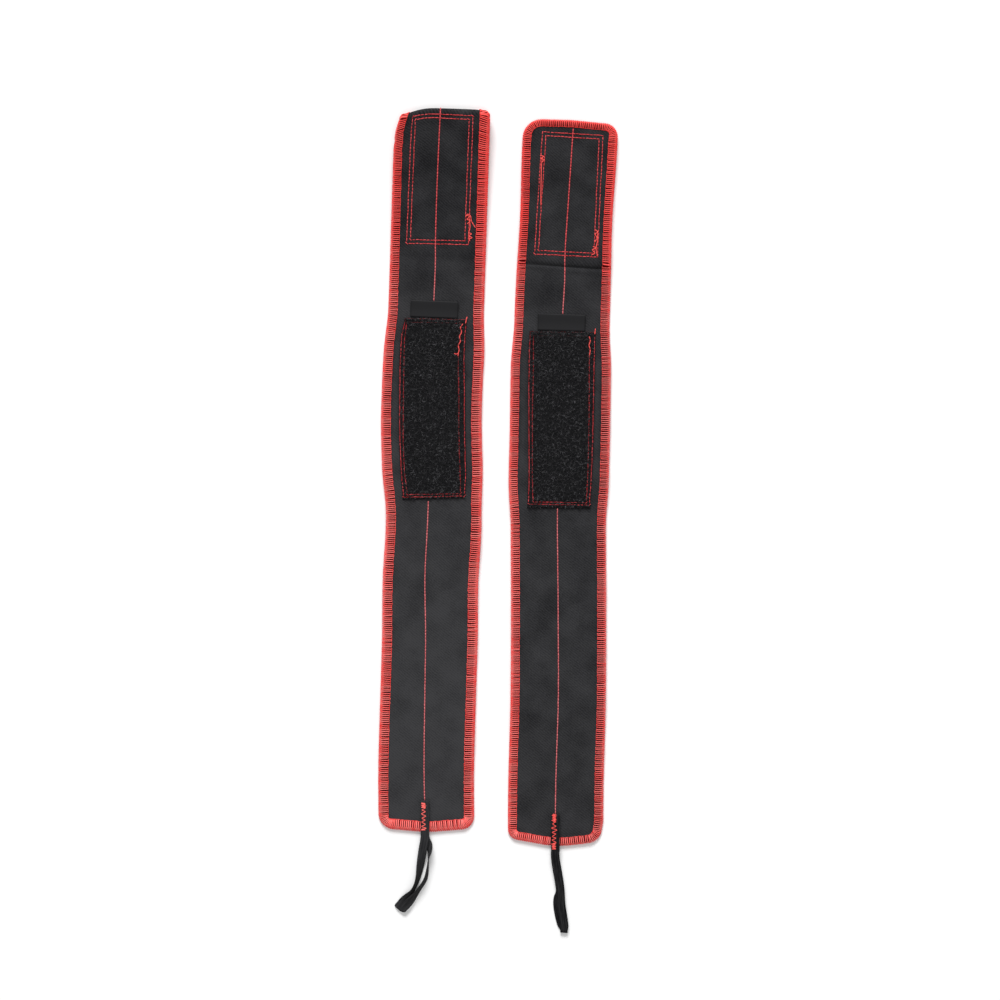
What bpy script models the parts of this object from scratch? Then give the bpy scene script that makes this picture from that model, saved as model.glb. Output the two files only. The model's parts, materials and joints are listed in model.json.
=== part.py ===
"""A pair of wrist wraps, laid face up side by side on a table.

Each wrap is two plies of black cloth with an overlocked edge, a hook tape behind its closing tab,
a loop patch in the middle of its face, a folded label and an elastic thumb loop.
Every piece is cut flat and then laid: across, along and up are its flat coordinates on the strap.
Along starts at the thumb end. Up starts at the table under the strap.
"""

import math

import bmesh
import bpy
from mathutils import Matrix, Vector

# Cloth strap
STRAP_WIDTH = 0.0784
PLY = 0.0008
CORNER_RADIUS = 0.014
END_RADIUS = 0.090
PATCH_BULGE = 0.0042
BULGE_FADE = 0.040
BULGE_LEAD = 0.016
BULGE_TRAIL = 0.008

# Overlocked edge
OVERLOCK_WIDTH = 0.0075
OVERLOCK_THREAD = 0.00045

# Air left where one piece lies on another
SEAT = 0.00025

# Lengths along the strap
TAIL_LENGTH = 0.286
PATCH_LENGTH = 0.148
NECK_LENGTH = 0.054
CREASE_LENGTH = 0.0065
HOOK_LENGTH = 0.109

# Hook and loop tapes
PATCH_MARGIN = 0.004
HOOK_MARGIN = 0.005
TAPE_BASE = 0.0007
LOOP_PILE = 0.0013
HOOK_PILE = 0.0010
SELVAGE = 0.0062

# Sewing thread
THREAD = 0.0005
ROW_INSET = 0.0012
ROW_SPACING = 0.0032
THREAD_HUMP = 0.0012
SEAM_STOP = 0.0010

# Folded label
LABEL_WIDTH = 0.040
LABEL_HEIGHT = 0.014
LABEL_PLY = 0.0003
LABEL_ASIDE = -0.002

# Elastic thumb loop
TAPE_WIDTH = 0.0072
TAPE_THICKNESS = 0.0009
SEWN_LENGTH = 0.026
TACK_WIDTH = 0.0042
TACK_PITCH = 0.0017
TACK_END = 0.003
LOOP_STUB = 0.0025

# Folds
JOINT_GAP = 0.0003
STEP_RADIUS = 0.006
FOLD_RADIUS = 0.002

# Spacing of the cuts that let a flat piece follow its lay, and of the facets on its round edges
ROW_STEP = 0.036
FOLD_STEP = math.radians(14)
CORNER_STEP = math.radians(15)
EDGE_FACETS = 6
LOOP_ROWS = 4
TOE_ROWS = 2.4

# The two wraps: where the middle of the strap runs on the table, as (along, aside) points, how far its
# ends lean, and how the free thumb loop lies, as (aside, along, height, roll) points
WRAPS = {
    "left": {
        "place": (0.0, 0.0),
        "middle": [(0.0, -0.0598), (0.09, -0.0594), (0.165, -0.0571), (0.255, -0.0537),
                   (0.350, -0.0559), (0.435, -0.0522), (0.520, -0.0493), (0.612, -0.0462)],
        "thumb_end": (0.0038, 0.0030),
        "closing_end": (-0.0008, -0.0008),
        "end_margin": 0.0066,
        "tip_fold": math.radians(172),
        "seam_aside": -0.0040,
        "thumb_aside": -0.0012,
        "strand_over": [(-0.0006, -0.0070, 0.0047, 0), (-0.0018, -0.0135, 0.0036, -6),
                        (-0.0040, -0.0272, 0.0010, -32), (-0.0057, -0.0369, 0.0003, -56),
                        (-0.0081, -0.0441, 0.0003, -64), (-0.0109, -0.0492, 0.0003, -58),
                        (-0.0150, -0.0542, 0.0003, -26), (-0.0188, -0.0584, 0.0003, -6)],
        "toe": (-0.0224, -0.0624),
        "strand_under": [(-0.0178, -0.0608, 0.0023, -6), (-0.0132, -0.0564, 0.0019, -26),
                         (-0.0084, -0.0514, 0.0008, -52), (-0.0045, -0.0465, 0.0003, -60),
                         (-0.0011, -0.0417, 0.0003, -64), (0.0010, -0.0369, 0.0003, -68),
                         (0.0022, -0.0290, 0.0003, -80), (0.0030, -0.0205, 0.0003, -96),
                         (0.0038, -0.0152, 0.0003, -122), (0.0030, -0.0104, 0.0004, -152),
                         (0.0009, -0.0064, 0.0014, -174)],
        "under_turn": -180,
    },
    "right": {
        "place": (0.0, -0.0118),
        "middle": [(0.0, 0.0487), (0.056, 0.0491), (0.123, 0.0509), (0.207, 0.0513),
                   (0.291, 0.0511), (0.350, 0.0524), (0.426, 0.0537), (0.502, 0.0564), (0.611, 0.0616)],
        "thumb_end": (0.0074, 0.0040),
        "closing_end": (-0.0008, -0.0020),
        "end_margin": 0.0016,
        "tip_fold": 0.0,
        "seam_aside": 0.0,
        "thumb_aside": -0.0002,
        "strand_over": [(-0.0003, -0.006, 0.0046, 0), (0.0005, -0.0125, 0.0034, 0),
                        (0.0025, -0.0240, 0.0026, 0), (0.0041, -0.0355, 0.0024, 2),
                        (0.0048, -0.0470, 0.0023, 4), (0.0064, -0.0585, 0.0023, 2),
                        (0.0076, -0.0675, 0.0023, 0)],
        "toe": (0.0072, -0.0722),
        "strand_under": [(0.0058, -0.0672, 0.0003, 0), (0.0034, -0.0585, 0.0003, 0),
                         (0.0020, -0.0470, 0.0003, 0), (0.0024, -0.0355, 0.0003, 0),
                         (0.0018, -0.0240, 0.0004, 0), (0.0004, -0.0130, 0.0014, 0),
                         (-0.0002, -0.0062, 0.0026, 0)],
        "under_turn": 0,
    },
}

# Stations along the strap
PATCH_FOOT = TAIL_LENGTH
PATCH_HEAD = PATCH_FOOT + PATCH_LENGTH
CREASE = PATCH_HEAD + NECK_LENGTH
HOOK_FOOT = CREASE + CREASE_LENGTH
HOOK_HEAD = HOOK_FOOT + HOOK_LENGTH

# Layers, counted up from the table
BACK_PLY = OVERLOCK_THREAD + SEAT
FACE_PLY = BACK_PLY + PLY + SEAT
FACE = FACE_PLY + PLY
ON_FACE = FACE + SEAT
EDGE_TOP = ON_FACE + OVERLOCK_THREAD
HOOK_DROP = TAPE_BASE + HOOK_PILE + SEAT - BACK_PLY
SEWN_UNDER = EDGE_TOP + SEAT
SEWN_OVER = SEWN_UNDER + TAPE_THICKNESS + SEAT
SEWN_TOP = SEWN_OVER + TAPE_THICKNESS

# Widths that follow from the strap
PATCH_WIDTH = STRAP_WIDTH - 2 * (OVERLOCK_WIDTH + PATCH_MARGIN)
HOOK_WIDTH = STRAP_WIDTH - 2 * (OVERLOCK_WIDTH + HOOK_MARGIN)

SHADES = {
    "cloth": ((0.028, 0.028, 0.031), 0.85),
    "overlock thread": ((0.62, 0.045, 0.045), 0.60),
    "sewing thread": ((0.68, 0.040, 0.045), 0.55),
    "loop pile": ((0.014, 0.014, 0.016), 0.95),
    "hook tape": ((0.020, 0.020, 0.022), 0.50),
    "label": ((0.018, 0.018, 0.020), 0.45),
    "elastic": ((0.016, 0.016, 0.017), 0.70),
}


def clear_scene():
    for thing in list(bpy.data.objects):
        bpy.data.objects.remove(thing, do_unlink=True)


def make_materials():
    made = {}
    for name, (colour, roughness) in SHADES.items():
        material = bpy.data.materials.new(name)
        material.use_nodes = True
        shader = material.node_tree.nodes["Principled BSDF"]
        shader.inputs["Base Color"].default_value = (*colour, 1.0)
        shader.inputs["Roughness"].default_value = roughness
        shader.inputs["Metallic"].default_value = 0.0
        made[name] = material
    return made


def smooth_step(value):
    value = min(max(value, 0.0), 1.0)
    return value * value * (3 - 2 * value)


def smooth_through(knots, at):
    """Value and slope at one place on a smooth line through (place, value) knots."""
    last = len(knots) - 1
    index = 0
    while index < last - 1 and at > knots[index + 1][0]:
        index += 1
    slopes = []
    for knot in (index, index + 1):
        before = knots[max(knot - 1, 0)]
        after = knots[min(knot + 1, last)]
        slopes.append((after[1] - before[1]) / (after[0] - before[0]))
    (start, low), (end, high) = knots[index], knots[index + 1]
    span = end - start
    if at < start or at > end:
        edge, value, slope = (start, low, slopes[0]) if at < start else (end, high, slopes[1])
        return value + slope * (at - edge), slope
    t = (at - start) / span
    value = ((1 + 2 * t) * (1 - t) ** 2 * low + t * (1 - t) ** 2 * span * slopes[0]
             + t * t * (3 - 2 * t) * high + t * t * (t - 1) * span * slopes[1])
    slope = (6 * t * (1 - t) * (high - low) / span + (1 - t) * (1 - 3 * t) * slopes[0]
             + t * (3 * t - 2) * slopes[1])
    return value, slope


class Lay:
    """Carries flat strap coordinates to the place where one wrap lies."""

    def __init__(self, wrap):
        self.wrap = wrap
        self.length = HOOK_HEAD + wrap["end_margin"] + OVERLOCK_WIDTH
        self.bends = self.side_bends()
        self.rows = self.cut_rows()

    def side_bends(self):
        """The side view as (length, turn) stretches, from the thumb end."""
        fold = self.wrap["tip_fold"]
        if not fold:
            return self.stepped(0.0, self.length, [])
        board = HOOK_HEAD + OVERLOCK_THREAD + SEAT
        curl = FOLD_RADIUS * fold
        tip = [(curl, -fold), (self.length - board - curl, 0.0)]
        # The tab lifts by the angle that sets its folded tip on the table
        low, high = 0.0, 0.5
        for _ in range(40):
            lift = (low + high) / 2
            bends = self.stepped(lift, board, tip)
            depth = min(self.walk(bends, self.length, up)[1] for up in (0.0, EDGE_TOP))
            low, high = (lift, high) if depth < 0 else (low, lift)
        return bends

    @staticmethod
    def stepped(lift, end, tip):
        """A strap that steps up over the hook tape and runs on at an angle to a station."""
        turn = math.acos(1 - HOOK_DROP / (2 * STEP_RADIUS))
        rise = [(STEP_RADIUS * turn, turn), (STEP_RADIUS * (turn - lift), lift - turn)]
        return [(CREASE, 0.0), *rise, (end - CREASE - rise[0][0] - rise[1][0], 0.0), *tip]

    @staticmethod
    def walk(bends, along, up):
        """Distance on the table and height of a point on the side view."""
        reach, height, pitch, left = 0.0, 0.0, 0.0, along
        for number, (length, turn) in enumerate(bends):
            last = number == len(bends) - 1
            step = left if last else min(left, length)
            if turn and step > 0:
                radius = length / turn
                bent = step / radius
                reach += radius * (math.sin(pitch + bent) - math.sin(pitch))
                height += radius * (math.cos(pitch) - math.cos(pitch + bent))
                pitch += bent
            else:
                reach += step * math.cos(pitch)
                height += step * math.sin(pitch)
            left -= step
            if left <= 0:
                break
        return reach - up * math.sin(pitch), height + up * math.cos(pitch)

    def cut_rows(self):
        """Stations where a flat piece is cut so that it can bend."""
        rows, start = [], 0.0
        for length, turn in self.bends:
            parts = max(1, math.ceil(length / ROW_STEP), math.ceil(abs(turn) / FOLD_STEP))
            rows += [start + length * part / parts for part in range(parts + 1)]
            start += length
        return sorted(set(round(row, 7) for row in rows))

    def __call__(self, across, along, up):
        reach, height = self.walk(self.bends, along, up)
        aside, slope = smooth_through(self.wrap["middle"], reach)
        heading = math.atan(slope)
        place = self.wrap["place"]
        return Vector((place[0] + aside + across * math.cos(heading),
                       place[1] + reach - across * math.sin(heading), height))

    def heading(self, along):
        reach, _ = self.walk(self.bends, along, 0.0)
        return -math.atan(smooth_through(self.wrap["middle"], reach)[1])


def half_width(along):
    """Half the strap's width: the sewn patch holds the cloth out wider."""
    fade_in = smooth_step((along - PATCH_FOOT + BULGE_LEAD) / BULGE_FADE)
    fade_out = smooth_step((PATCH_HEAD - along + BULGE_TRAIL) / BULGE_FADE)
    return (STRAP_WIDTH + PATCH_BULGE * fade_in * fade_out) / 2


def rounded(corners):
    """Points of a line through (across, along, radius) corners, with each corner turned as an arc."""
    points = []
    for number, (across, along, radius) in enumerate(corners):
        corner = Vector((across, along))
        if not radius:
            points.append(corner)
            continue
        back = (Vector(corners[number - 1][:2]) - corner).normalized()
        ahead = (Vector(corners[number + 1][:2]) - corner).normalized()
        half = back.angle(ahead) / 2
        centre = corner + (back + ahead).normalized() * (radius / math.sin(half))
        sweep = math.pi - 2 * half
        first = corner + back * (radius / math.tan(half)) - centre
        turn = 1 if back.x * ahead.y - back.y * ahead.x < 0 else -1
        parts = max(2, math.ceil(sweep / CORNER_STEP))
        for part in range(parts + 1):
            spoke = first.copy()
            spoke.rotate(Matrix.Rotation(turn * sweep * part / parts, 2))
            points.append(centre + spoke)
    return points


def side_points(sign, start, end):
    """Points down one side of the strap, between two stations."""
    parts = max(1, math.ceil(abs(end - start) / (BULGE_FADE / 4)))
    stations = [start + (end - start) * part / parts for part in range(parts + 1)]
    return [(sign * half_width(station), station, 0.0) for station in stations]


def edge_line(wrap, lay, tab):
    """The strap's cut edge, anticlockwise from the crease round one end and back to the crease."""
    if tab:
        lean, tip, start, way = wrap["closing_end"], lay.length, CREASE + JOINT_GAP / 2, -1
    else:
        lean, tip, start, way = wrap["thumb_end"], 0.0, CREASE - JOINT_GAP / 2, 1
    clear = tip + way * (CORNER_RADIUS + abs(lean[0]) + abs(lean[1]))
    wide = half_width(tip)
    ends = [(-wide, tip + lean[0], CORNER_RADIUS), (0.0, tip, END_RADIUS),
            (wide, tip + lean[1], CORNER_RADIUS)]
    corners = side_points(-way, start, clear) + ends[::way] + side_points(way, clear, start)
    return rounded(corners)


def finish(name, mesh, material, lay=None, smooth=False):
    """Weld a flat mesh, cut it where its lay bends, lay it down and make it an object."""
    form = bmesh.new()
    form.from_mesh(mesh)
    bmesh.ops.remove_doubles(form, verts=form.verts, dist=1e-6)
    if lay:
        bmesh.ops.dissolve_limit(form, angle_limit=math.radians(0.5), verts=form.verts, edges=form.edges)
        alongs = [vertex.co.y for vertex in form.verts]
        for row in lay.rows:
            if min(alongs) < row < max(alongs):
                bmesh.ops.bisect_plane(form, geom=form.verts[:] + form.edges[:] + form.faces[:], dist=1e-6,
                                       plane_co=(0, row, 0), plane_no=(0, 1, 0))
        for vertex in form.verts:
            vertex.co = lay(*vertex.co)
    bmesh.ops.recalc_face_normals(form, faces=form.faces)
    if form.calc_volume(signed=True) < 0:
        bmesh.ops.reverse_faces(form, faces=form.faces)
    for face in form.faces:
        face.smooth = smooth
    form.to_mesh(mesh)
    form.free()
    mesh.name = name
    mesh.materials.clear()
    mesh.materials.append(material)
    piece = bpy.data.objects.new(name, mesh)
    collection.objects.link(piece)
    return piece


def mesh_of(curve):
    """The plain mesh of a curve, which is then dropped."""
    drawn = bpy.data.objects.new("drawn", curve)
    bpy.context.scene.collection.objects.link(drawn)
    bpy.context.view_layer.update()
    graph = bpy.context.evaluated_depsgraph_get()
    mesh = bpy.data.meshes.new_from_object(drawn.evaluated_get(graph))
    bpy.data.objects.remove(drawn, do_unlink=True)
    bpy.data.curves.remove(curve)
    return mesh


def line_curve(points, closed, dimensions="3D"):
    curve = bpy.data.curves.new("line", "CURVE")
    curve.dimensions = dimensions
    spline = curve.splines.new("POLY")
    spline.points.add(len(points) - 1)
    for point, place in zip(spline.points, points):
        point.co = (*place, *([0.0] * (3 - len(place))), 1.0)
    spline.use_cyclic_u = closed
    return curve


def cut_ply(name, outline, low, material, lay):
    """Cloth cut to an outline, one ply thick."""
    curve = line_curve(outline, True, "2D")
    curve.fill_mode = "BOTH"
    curve.extrude = PLY / 2
    mesh = mesh_of(curve)
    mesh.transform(Matrix.Translation((0, 0, low + PLY / 2)))
    return finish(name, mesh, material, lay)


def overlock(name, edge, material, lay):
    """The thread that binds both plies: a hollow edge wrapped over, round and under them."""
    low, high = OVERLOCK_THREAD / 2, EDGE_TOP - OVERLOCK_THREAD / 2
    middle, radius = (low + high) / 2, (high - low) / 2
    # Section as (distance in from the cut edge, height), round at the edge itself
    section = [(OVERLOCK_WIDTH, high)]
    bulge = SEAT + OVERLOCK_THREAD / 2
    for part in range(EDGE_FACETS + 1):
        angle = math.pi / 2 + math.pi * part / EDGE_FACETS
        section.append((bulge * math.cos(angle), middle + radius * math.sin(angle)))
    section.append((OVERLOCK_WIDTH, low))
    form = bmesh.new()
    rings = []
    for number, point in enumerate(edge):
        before = edge[max(number - 1, 0)]
        after = edge[min(number + 1, len(edge) - 1)]
        inward = Vector((before.y - after.y, after.x - before.x)).normalized()
        rings.append([form.verts.new((*(point + inward * inset), up)) for inset, up in section])
    for ring, following in zip(rings, rings[1:]):
        for step in range(len(section) - 1):
            form.faces.new((ring[step], ring[step + 1], following[step + 1], following[step]))
    mesh = bpy.data.meshes.new(name)
    form.to_mesh(mesh)
    form.free()
    shell = bpy.data.objects.new("shell", mesh)
    bpy.context.scene.collection.objects.link(shell)
    solid = shell.modifiers.new("thickness", "SOLIDIFY")
    solid.thickness = OVERLOCK_THREAD
    solid.offset = 0.0
    bpy.context.view_layer.update()
    made = bpy.data.meshes.new_from_object(shell.evaluated_get(bpy.context.evaluated_depsgraph_get()))
    bpy.data.objects.remove(shell, do_unlink=True)
    bpy.data.meshes.remove(mesh)
    return finish(name, made, material, lay)


def pile_tape(name, width, foot, head, low, pile, material, lay):
    """Hook or loop tape: a flat base with a plain sewing edge and a field of pile standing off it."""
    form = bmesh.new()
    bmesh.ops.create_cube(form, size=1.0)
    bmesh.ops.scale(form, verts=form.verts, vec=(width, head - foot, TAPE_BASE))
    bmesh.ops.translate(form, verts=form.verts, vec=(0, (foot + head) / 2, low + TAPE_BASE / 2))
    way = 1 if pile > 0 else -1
    field = [face for face in form.faces if face.normal.z * way > 0.5]
    bmesh.ops.inset_region(form, faces=field, thickness=SELVAGE, use_even_offset=True)
    raised = bmesh.ops.extrude_face_region(form, geom=field)
    lifted = [item for item in raised["geom"] if isinstance(item, bmesh.types.BMVert)]
    bmesh.ops.translate(form, verts=lifted, vec=(0, 0, pile))
    bmesh.ops.delete(form, geom=field, context="FACES_ONLY")
    mesh = bpy.data.meshes.new(name)
    form.to_mesh(mesh)
    form.free()
    return finish(name, mesh, material, lay)


def thread(name, points, closed, material, lay):
    """A run of sewing thread."""
    curve = line_curve(points, closed)
    curve.bevel_depth = THREAD / 2
    curve.bevel_resolution = 1
    curve.use_fill_caps = True
    return finish(name, mesh_of(curve), material, lay, smooth=True)


def box_row(name, width, foot, head, inset, up, crossing, material, lay):
    """One closed row of stitching round a tape, lifted where it crosses another thread."""
    half, low, high = width / 2 - inset, foot + inset, head - inset
    centre = up + THREAD / 2
    lifted = centre + THREAD + SEAT
    points = []
    for side, along in ((-1, low), (1, high)):
        points.append((side * half, along, centre))
        if crossing is not None:
            for offset, height in ((-2, centre), (-1, lifted), (1, lifted), (2, centre)):
                points.append((crossing - side * offset * THREAD_HUMP, along, height))
        points.append((-side * half, along, centre))
    return thread(name, points, True, material, lay)


def folded_label(name, material, lay):
    """A woven label folded double, with its fold away from the patch."""
    foot = PATCH_HEAD + JOINT_GAP
    low = ON_FACE + LABEL_PLY / 2
    radius = (LABEL_PLY + SEAT) / 2
    side = [(foot, low), (foot + LABEL_HEIGHT - radius, low)]
    for part in range(1, EDGE_FACETS):
        angle = -math.pi / 2 + math.pi * part / EDGE_FACETS
        side.append((foot + LABEL_HEIGHT - radius + radius * math.cos(angle),
                     low + radius + radius * math.sin(angle)))
    side += [(foot + LABEL_HEIGHT - radius, low + 2 * radius), (foot, low + 2 * radius)]
    form = bmesh.new()
    bmesh.ops.create_grid(form, x_segments=1, y_segments=len(side) - 1, size=0.5)
    for vertex in form.verts:
        station, up = side[round((vertex.co.y + 0.5) * (len(side) - 1))]
        vertex.co = lay(LABEL_ASIDE + vertex.co.x * LABEL_WIDTH, station, up)
    mesh = bpy.data.meshes.new(name)
    form.to_mesh(mesh)
    form.free()
    return thicken(finish(name, mesh, material), LABEL_PLY)


def thicken(piece, thickness):
    solid = piece.modifiers.new("thickness", "SOLIDIFY")
    solid.thickness = thickness
    solid.offset = 0.0
    return piece


def sewn_end(name, across, low, material, lay):
    """One sewn-down end of the thumb loop's tape, over the strap's edge."""
    form = bmesh.new()
    bmesh.ops.create_cube(form, size=1.0)
    bmesh.ops.scale(form, verts=form.verts, vec=(TAPE_WIDTH, SEWN_LENGTH, TAPE_THICKNESS))
    bmesh.ops.translate(form, verts=form.verts,
                        vec=(across, SEWN_LENGTH / 2 + JOINT_GAP / 2, low + TAPE_THICKNESS / 2))
    mesh = bpy.data.meshes.new(name)
    form.to_mesh(mesh)
    form.free()
    return finish(name, mesh, material, lay)


def zigzag_tack(name, across, material, lay):
    """The zigzag that holds both ends of the thumb loop."""
    length = SEWN_LENGTH - 2 * TACK_END
    parts = max(4, round(length / TACK_PITCH))
    points = []
    for part in range(parts + 1):
        side = 1 if part % 2 else -1
        points.append((across + side * TACK_WIDTH / 2, TACK_END + JOINT_GAP + length * part / parts,
                       SEWN_TOP + SEAT + THREAD / 2))
    return thread(name, points, False, material, lay)


def loop_centres(wrap):
    """Middle line of the free thumb loop, as (aside, along, up, tilt) points, and the toe's number."""
    over, under = wrap["strand_over"], wrap["strand_under"]
    start = -JOINT_GAP / 2
    # The toe is a half turn as wide as the strands are apart
    one, other = over[-1][2], under[0][2]
    way = Vector(wrap["toe"]) - Vector(over[-1][:2])
    back = Vector(wrap["toe"]) - way.normalized() * abs(other - one) / 2
    toe = [(*back, one, 0), (*wrap["toe"], (one + other) / 2, 0), (*back, other, 0)]
    route = [(0.0, start, SEWN_OVER, 0), (0.0, start - LOOP_STUB, SEWN_OVER, 0), *over, *toe, *under,
             (0.0, start - LOOP_STUB, SEWN_UNDER, wrap["under_turn"]),
             (0.0, start, SEWN_UNDER, wrap["under_turn"])]
    centres = []
    for aside, along, height, roll in route:
        tilt = math.radians(roll)
        lift = TAPE_WIDTH / 2 * abs(math.sin(tilt)) + TAPE_THICKNESS / 2 * abs(math.cos(tilt))
        centres.append((aside, along, height + lift, tilt))
    return centres, len(over) + 3


def thumb_loop(name, wrap, lay, material):
    """The free loop of elastic tape, from one sewn end round its toe to the other."""
    root = lay(wrap["thumb_aside"], 0.0, 0.0)
    centres, toe = loop_centres(wrap)
    run = [0.0]
    for here, following in zip(centres, centres[1:]):
        run.append(run[-1] + math.dist(here[:3], following[:3]))
    lines = [[(place, centre[axis]) for place, centre in zip(run, centres)] for axis in range(4)]
    toe_way = Vector(centres[toe - 1][:2]) - Vector(centres[toe - 2][:2])
    spans = len(centres) - 1
    form = bmesh.new()
    bmesh.ops.create_grid(form, x_segments=1, y_segments=LOOP_ROWS * spans, size=0.5)
    for vertex in form.verts:
        number = (vertex.co.y + 0.5) * spans
        knot = min(int(number), spans - 1)
        at = run[knot] + (run[knot + 1] - run[knot]) * (number - knot)
        aside, along, up, tilt = (smooth_through(line, at)[0] for line in lines)
        way = Vector([smooth_through(line, at)[1] for line in lines[:2]])
        if number > toe:
            way = -way
        toe_share = smooth_step(TOE_ROWS - abs(number - toe))
        way = way.normalized().lerp(toe_way.normalized(), toe_share).normalized()
        across = Vector((-way.y, way.x, 0.0)) * math.cos(tilt) + Vector((0, 0, math.sin(tilt)))
        vertex.co = root + Vector((aside, along, up)) + across * (vertex.co.x * TAPE_WIDTH)
    mesh = bpy.data.meshes.new(name)
    form.to_mesh(mesh)
    form.free()
    return thicken(finish(name, mesh, material, smooth=True), TAPE_THICKNESS)


def hinge(name, place, heading, pieces, parent):
    """An empty on a fold line, carrying the pieces that turn about it."""
    pivot = bpy.data.objects.new(name, None)
    pivot.empty_display_size = 0.02
    pivot.location = place
    pivot.rotation_euler = (0, 0, heading)
    collection.objects.link(pivot)
    bpy.context.view_layer.update()
    for piece in pieces:
        piece.parent = pivot
        piece.matrix_parent_inverse = pivot.matrix_world.inverted()
    pivot.parent = parent
    return pivot


def build_wrap(side, wrap, parent):
    lay = Lay(wrap)
    seam = wrap["seam_aside"]
    thumb = wrap["thumb_aside"]
    cloth, red, sewing = shades["cloth"], shades["overlock thread"], shades["sewing thread"]
    seam_up = ON_FACE + THREAD / 2
    patch_top = ON_FACE + TAPE_BASE + SEAT
    fixed, tab = [], []

    for group, on_tab in ((fixed, False), (tab, True)):
        edge = edge_line(wrap, lay, on_tab)
        part = side + ("_tab_" if on_tab else "_")
        group.append(cut_ply(part + "face_ply", edge, FACE_PLY, cloth, lay))
        group.append(cut_ply(part + "back_ply", edge, BACK_PLY, cloth, lay))
        group.append(overlock(part + "overlock", edge, red, lay))

    fixed.append(pile_tape(side + "_loop_patch", PATCH_WIDTH, PATCH_FOOT, PATCH_HEAD, ON_FACE, LOOP_PILE,
                           shades["loop pile"], lay))
    tab.append(pile_tape(side + "_hook_tape", HOOK_WIDTH, HOOK_FOOT, HOOK_HEAD, BACK_PLY - SEAT - TAPE_BASE,
                         -HOOK_PILE, shades["hook tape"], lay))
    for row, inset in (("outer", ROW_INSET), ("inner", ROW_INSET + ROW_SPACING)):
        fixed.append(box_row(f"{side}_loop_stitch_{row}", PATCH_WIDTH, PATCH_FOOT, PATCH_HEAD, inset,
                             patch_top, None, sewing, lay))
        tab.append(box_row(f"{side}_hook_stitch_{row}", HOOK_WIDTH, HOOK_FOOT, HOOK_HEAD, inset,
                           ON_FACE, seam, sewing, lay))

    sewn_head = SEWN_LENGTH + JOINT_GAP / 2
    tail = [(seam, sewn_head + SEAM_STOP, seam_up), (seam, PATCH_FOOT - SEAM_STOP, seam_up)]
    neck = [(seam, PATCH_HEAD + LABEL_HEIGHT + JOINT_GAP + SEAM_STOP, seam_up),
            (seam, CREASE - JOINT_GAP / 2, seam_up)]
    closing = [(seam, CREASE + JOINT_GAP / 2, seam_up),
               (seam, lay.length - OVERLOCK_WIDTH - SEAM_STOP / 2, seam_up)]
    fixed.append(thread(side + "_tail_seam", tail, False, sewing, lay))
    fixed.append(thread(side + "_neck_seam", neck, False, sewing, lay))
    tab.append(thread(side + "_tab_seam", closing, False, sewing, lay))

    elastic = shades["elastic"]
    fixed.append(sewn_end(side + "_sewn_end_under", thumb, SEWN_UNDER, elastic, lay))
    fixed.append(sewn_end(side + "_sewn_end_over", thumb, SEWN_OVER, elastic, lay))
    fixed.append(zigzag_tack(side + "_thumb_tack", thumb, sewing, lay))
    loop = thumb_loop(side + "_thumb_loop", wrap, lay, elastic)
    label = folded_label(side + "_label", shades["label"], lay)

    for piece in fixed:
        piece.parent = parent
    above = EDGE_TOP + SEAT
    label_top = ON_FACE + 2 * LABEL_PLY + SEAT
    hinge(side + "_tab_fold", lay(0, CREASE, above), lay.heading(CREASE), tab, parent)
    hinge(side + "_label_fold", lay(LABEL_ASIDE, PATCH_HEAD + JOINT_GAP / 2, label_top),
          lay.heading(PATCH_HEAD), [label], parent)
    hinge(side + "_thumb_fold", lay(thumb, 0.0, SEWN_TOP), lay.heading(0.0), [loop], parent)


def centre_on_table(parent):
    """Move the pair so that the middle of its outline stands over the origin, on the table."""
    bpy.context.view_layer.update()
    graph = bpy.context.evaluated_depsgraph_get()
    corners = []
    for piece in collection.objects:
        if piece.type == "MESH":
            shape = piece.evaluated_get(graph)
            corners += [piece.matrix_world @ vertex.co for vertex in shape.data.vertices]
    low = [min(corner[axis] for corner in corners) for axis in range(3)]
    high = [max(corner[axis] for corner in corners) for axis in range(3)]
    parent.location = (-(low[0] + high[0]) / 2, -(low[1] + high[1]) / 2, -low[2])
    bpy.context.view_layer.update()


clear_scene()
collection = bpy.data.collections.new("Wrist wraps")
bpy.context.scene.collection.children.link(collection)
shades = make_materials()
pair = bpy.data.objects.new("wrist_wraps", None)
collection.objects.link(pair)
for side, wrap in WRAPS.items():
    build_wrap(side, wrap, pair)
centre_on_table(pair)
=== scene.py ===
import json
import math

import bpy
import numpy as np
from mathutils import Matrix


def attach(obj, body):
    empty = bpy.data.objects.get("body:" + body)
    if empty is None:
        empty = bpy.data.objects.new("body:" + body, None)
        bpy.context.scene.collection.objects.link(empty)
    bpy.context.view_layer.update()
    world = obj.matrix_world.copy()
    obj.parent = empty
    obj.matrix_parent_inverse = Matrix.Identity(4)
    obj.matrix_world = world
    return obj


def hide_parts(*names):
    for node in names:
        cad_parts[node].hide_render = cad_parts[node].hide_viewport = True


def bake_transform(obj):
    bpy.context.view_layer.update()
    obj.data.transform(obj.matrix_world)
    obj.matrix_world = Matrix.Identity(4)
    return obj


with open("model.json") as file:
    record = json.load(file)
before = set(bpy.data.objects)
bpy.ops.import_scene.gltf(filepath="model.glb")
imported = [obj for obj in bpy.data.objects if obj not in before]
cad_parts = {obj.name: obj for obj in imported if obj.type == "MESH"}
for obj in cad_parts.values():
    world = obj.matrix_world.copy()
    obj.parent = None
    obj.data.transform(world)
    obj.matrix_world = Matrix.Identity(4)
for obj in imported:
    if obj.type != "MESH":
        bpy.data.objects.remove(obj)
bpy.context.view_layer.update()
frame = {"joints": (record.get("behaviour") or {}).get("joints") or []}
joints = {joint["name"]: joint for joint in frame["joints"]}
print("frame loaded")

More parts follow.
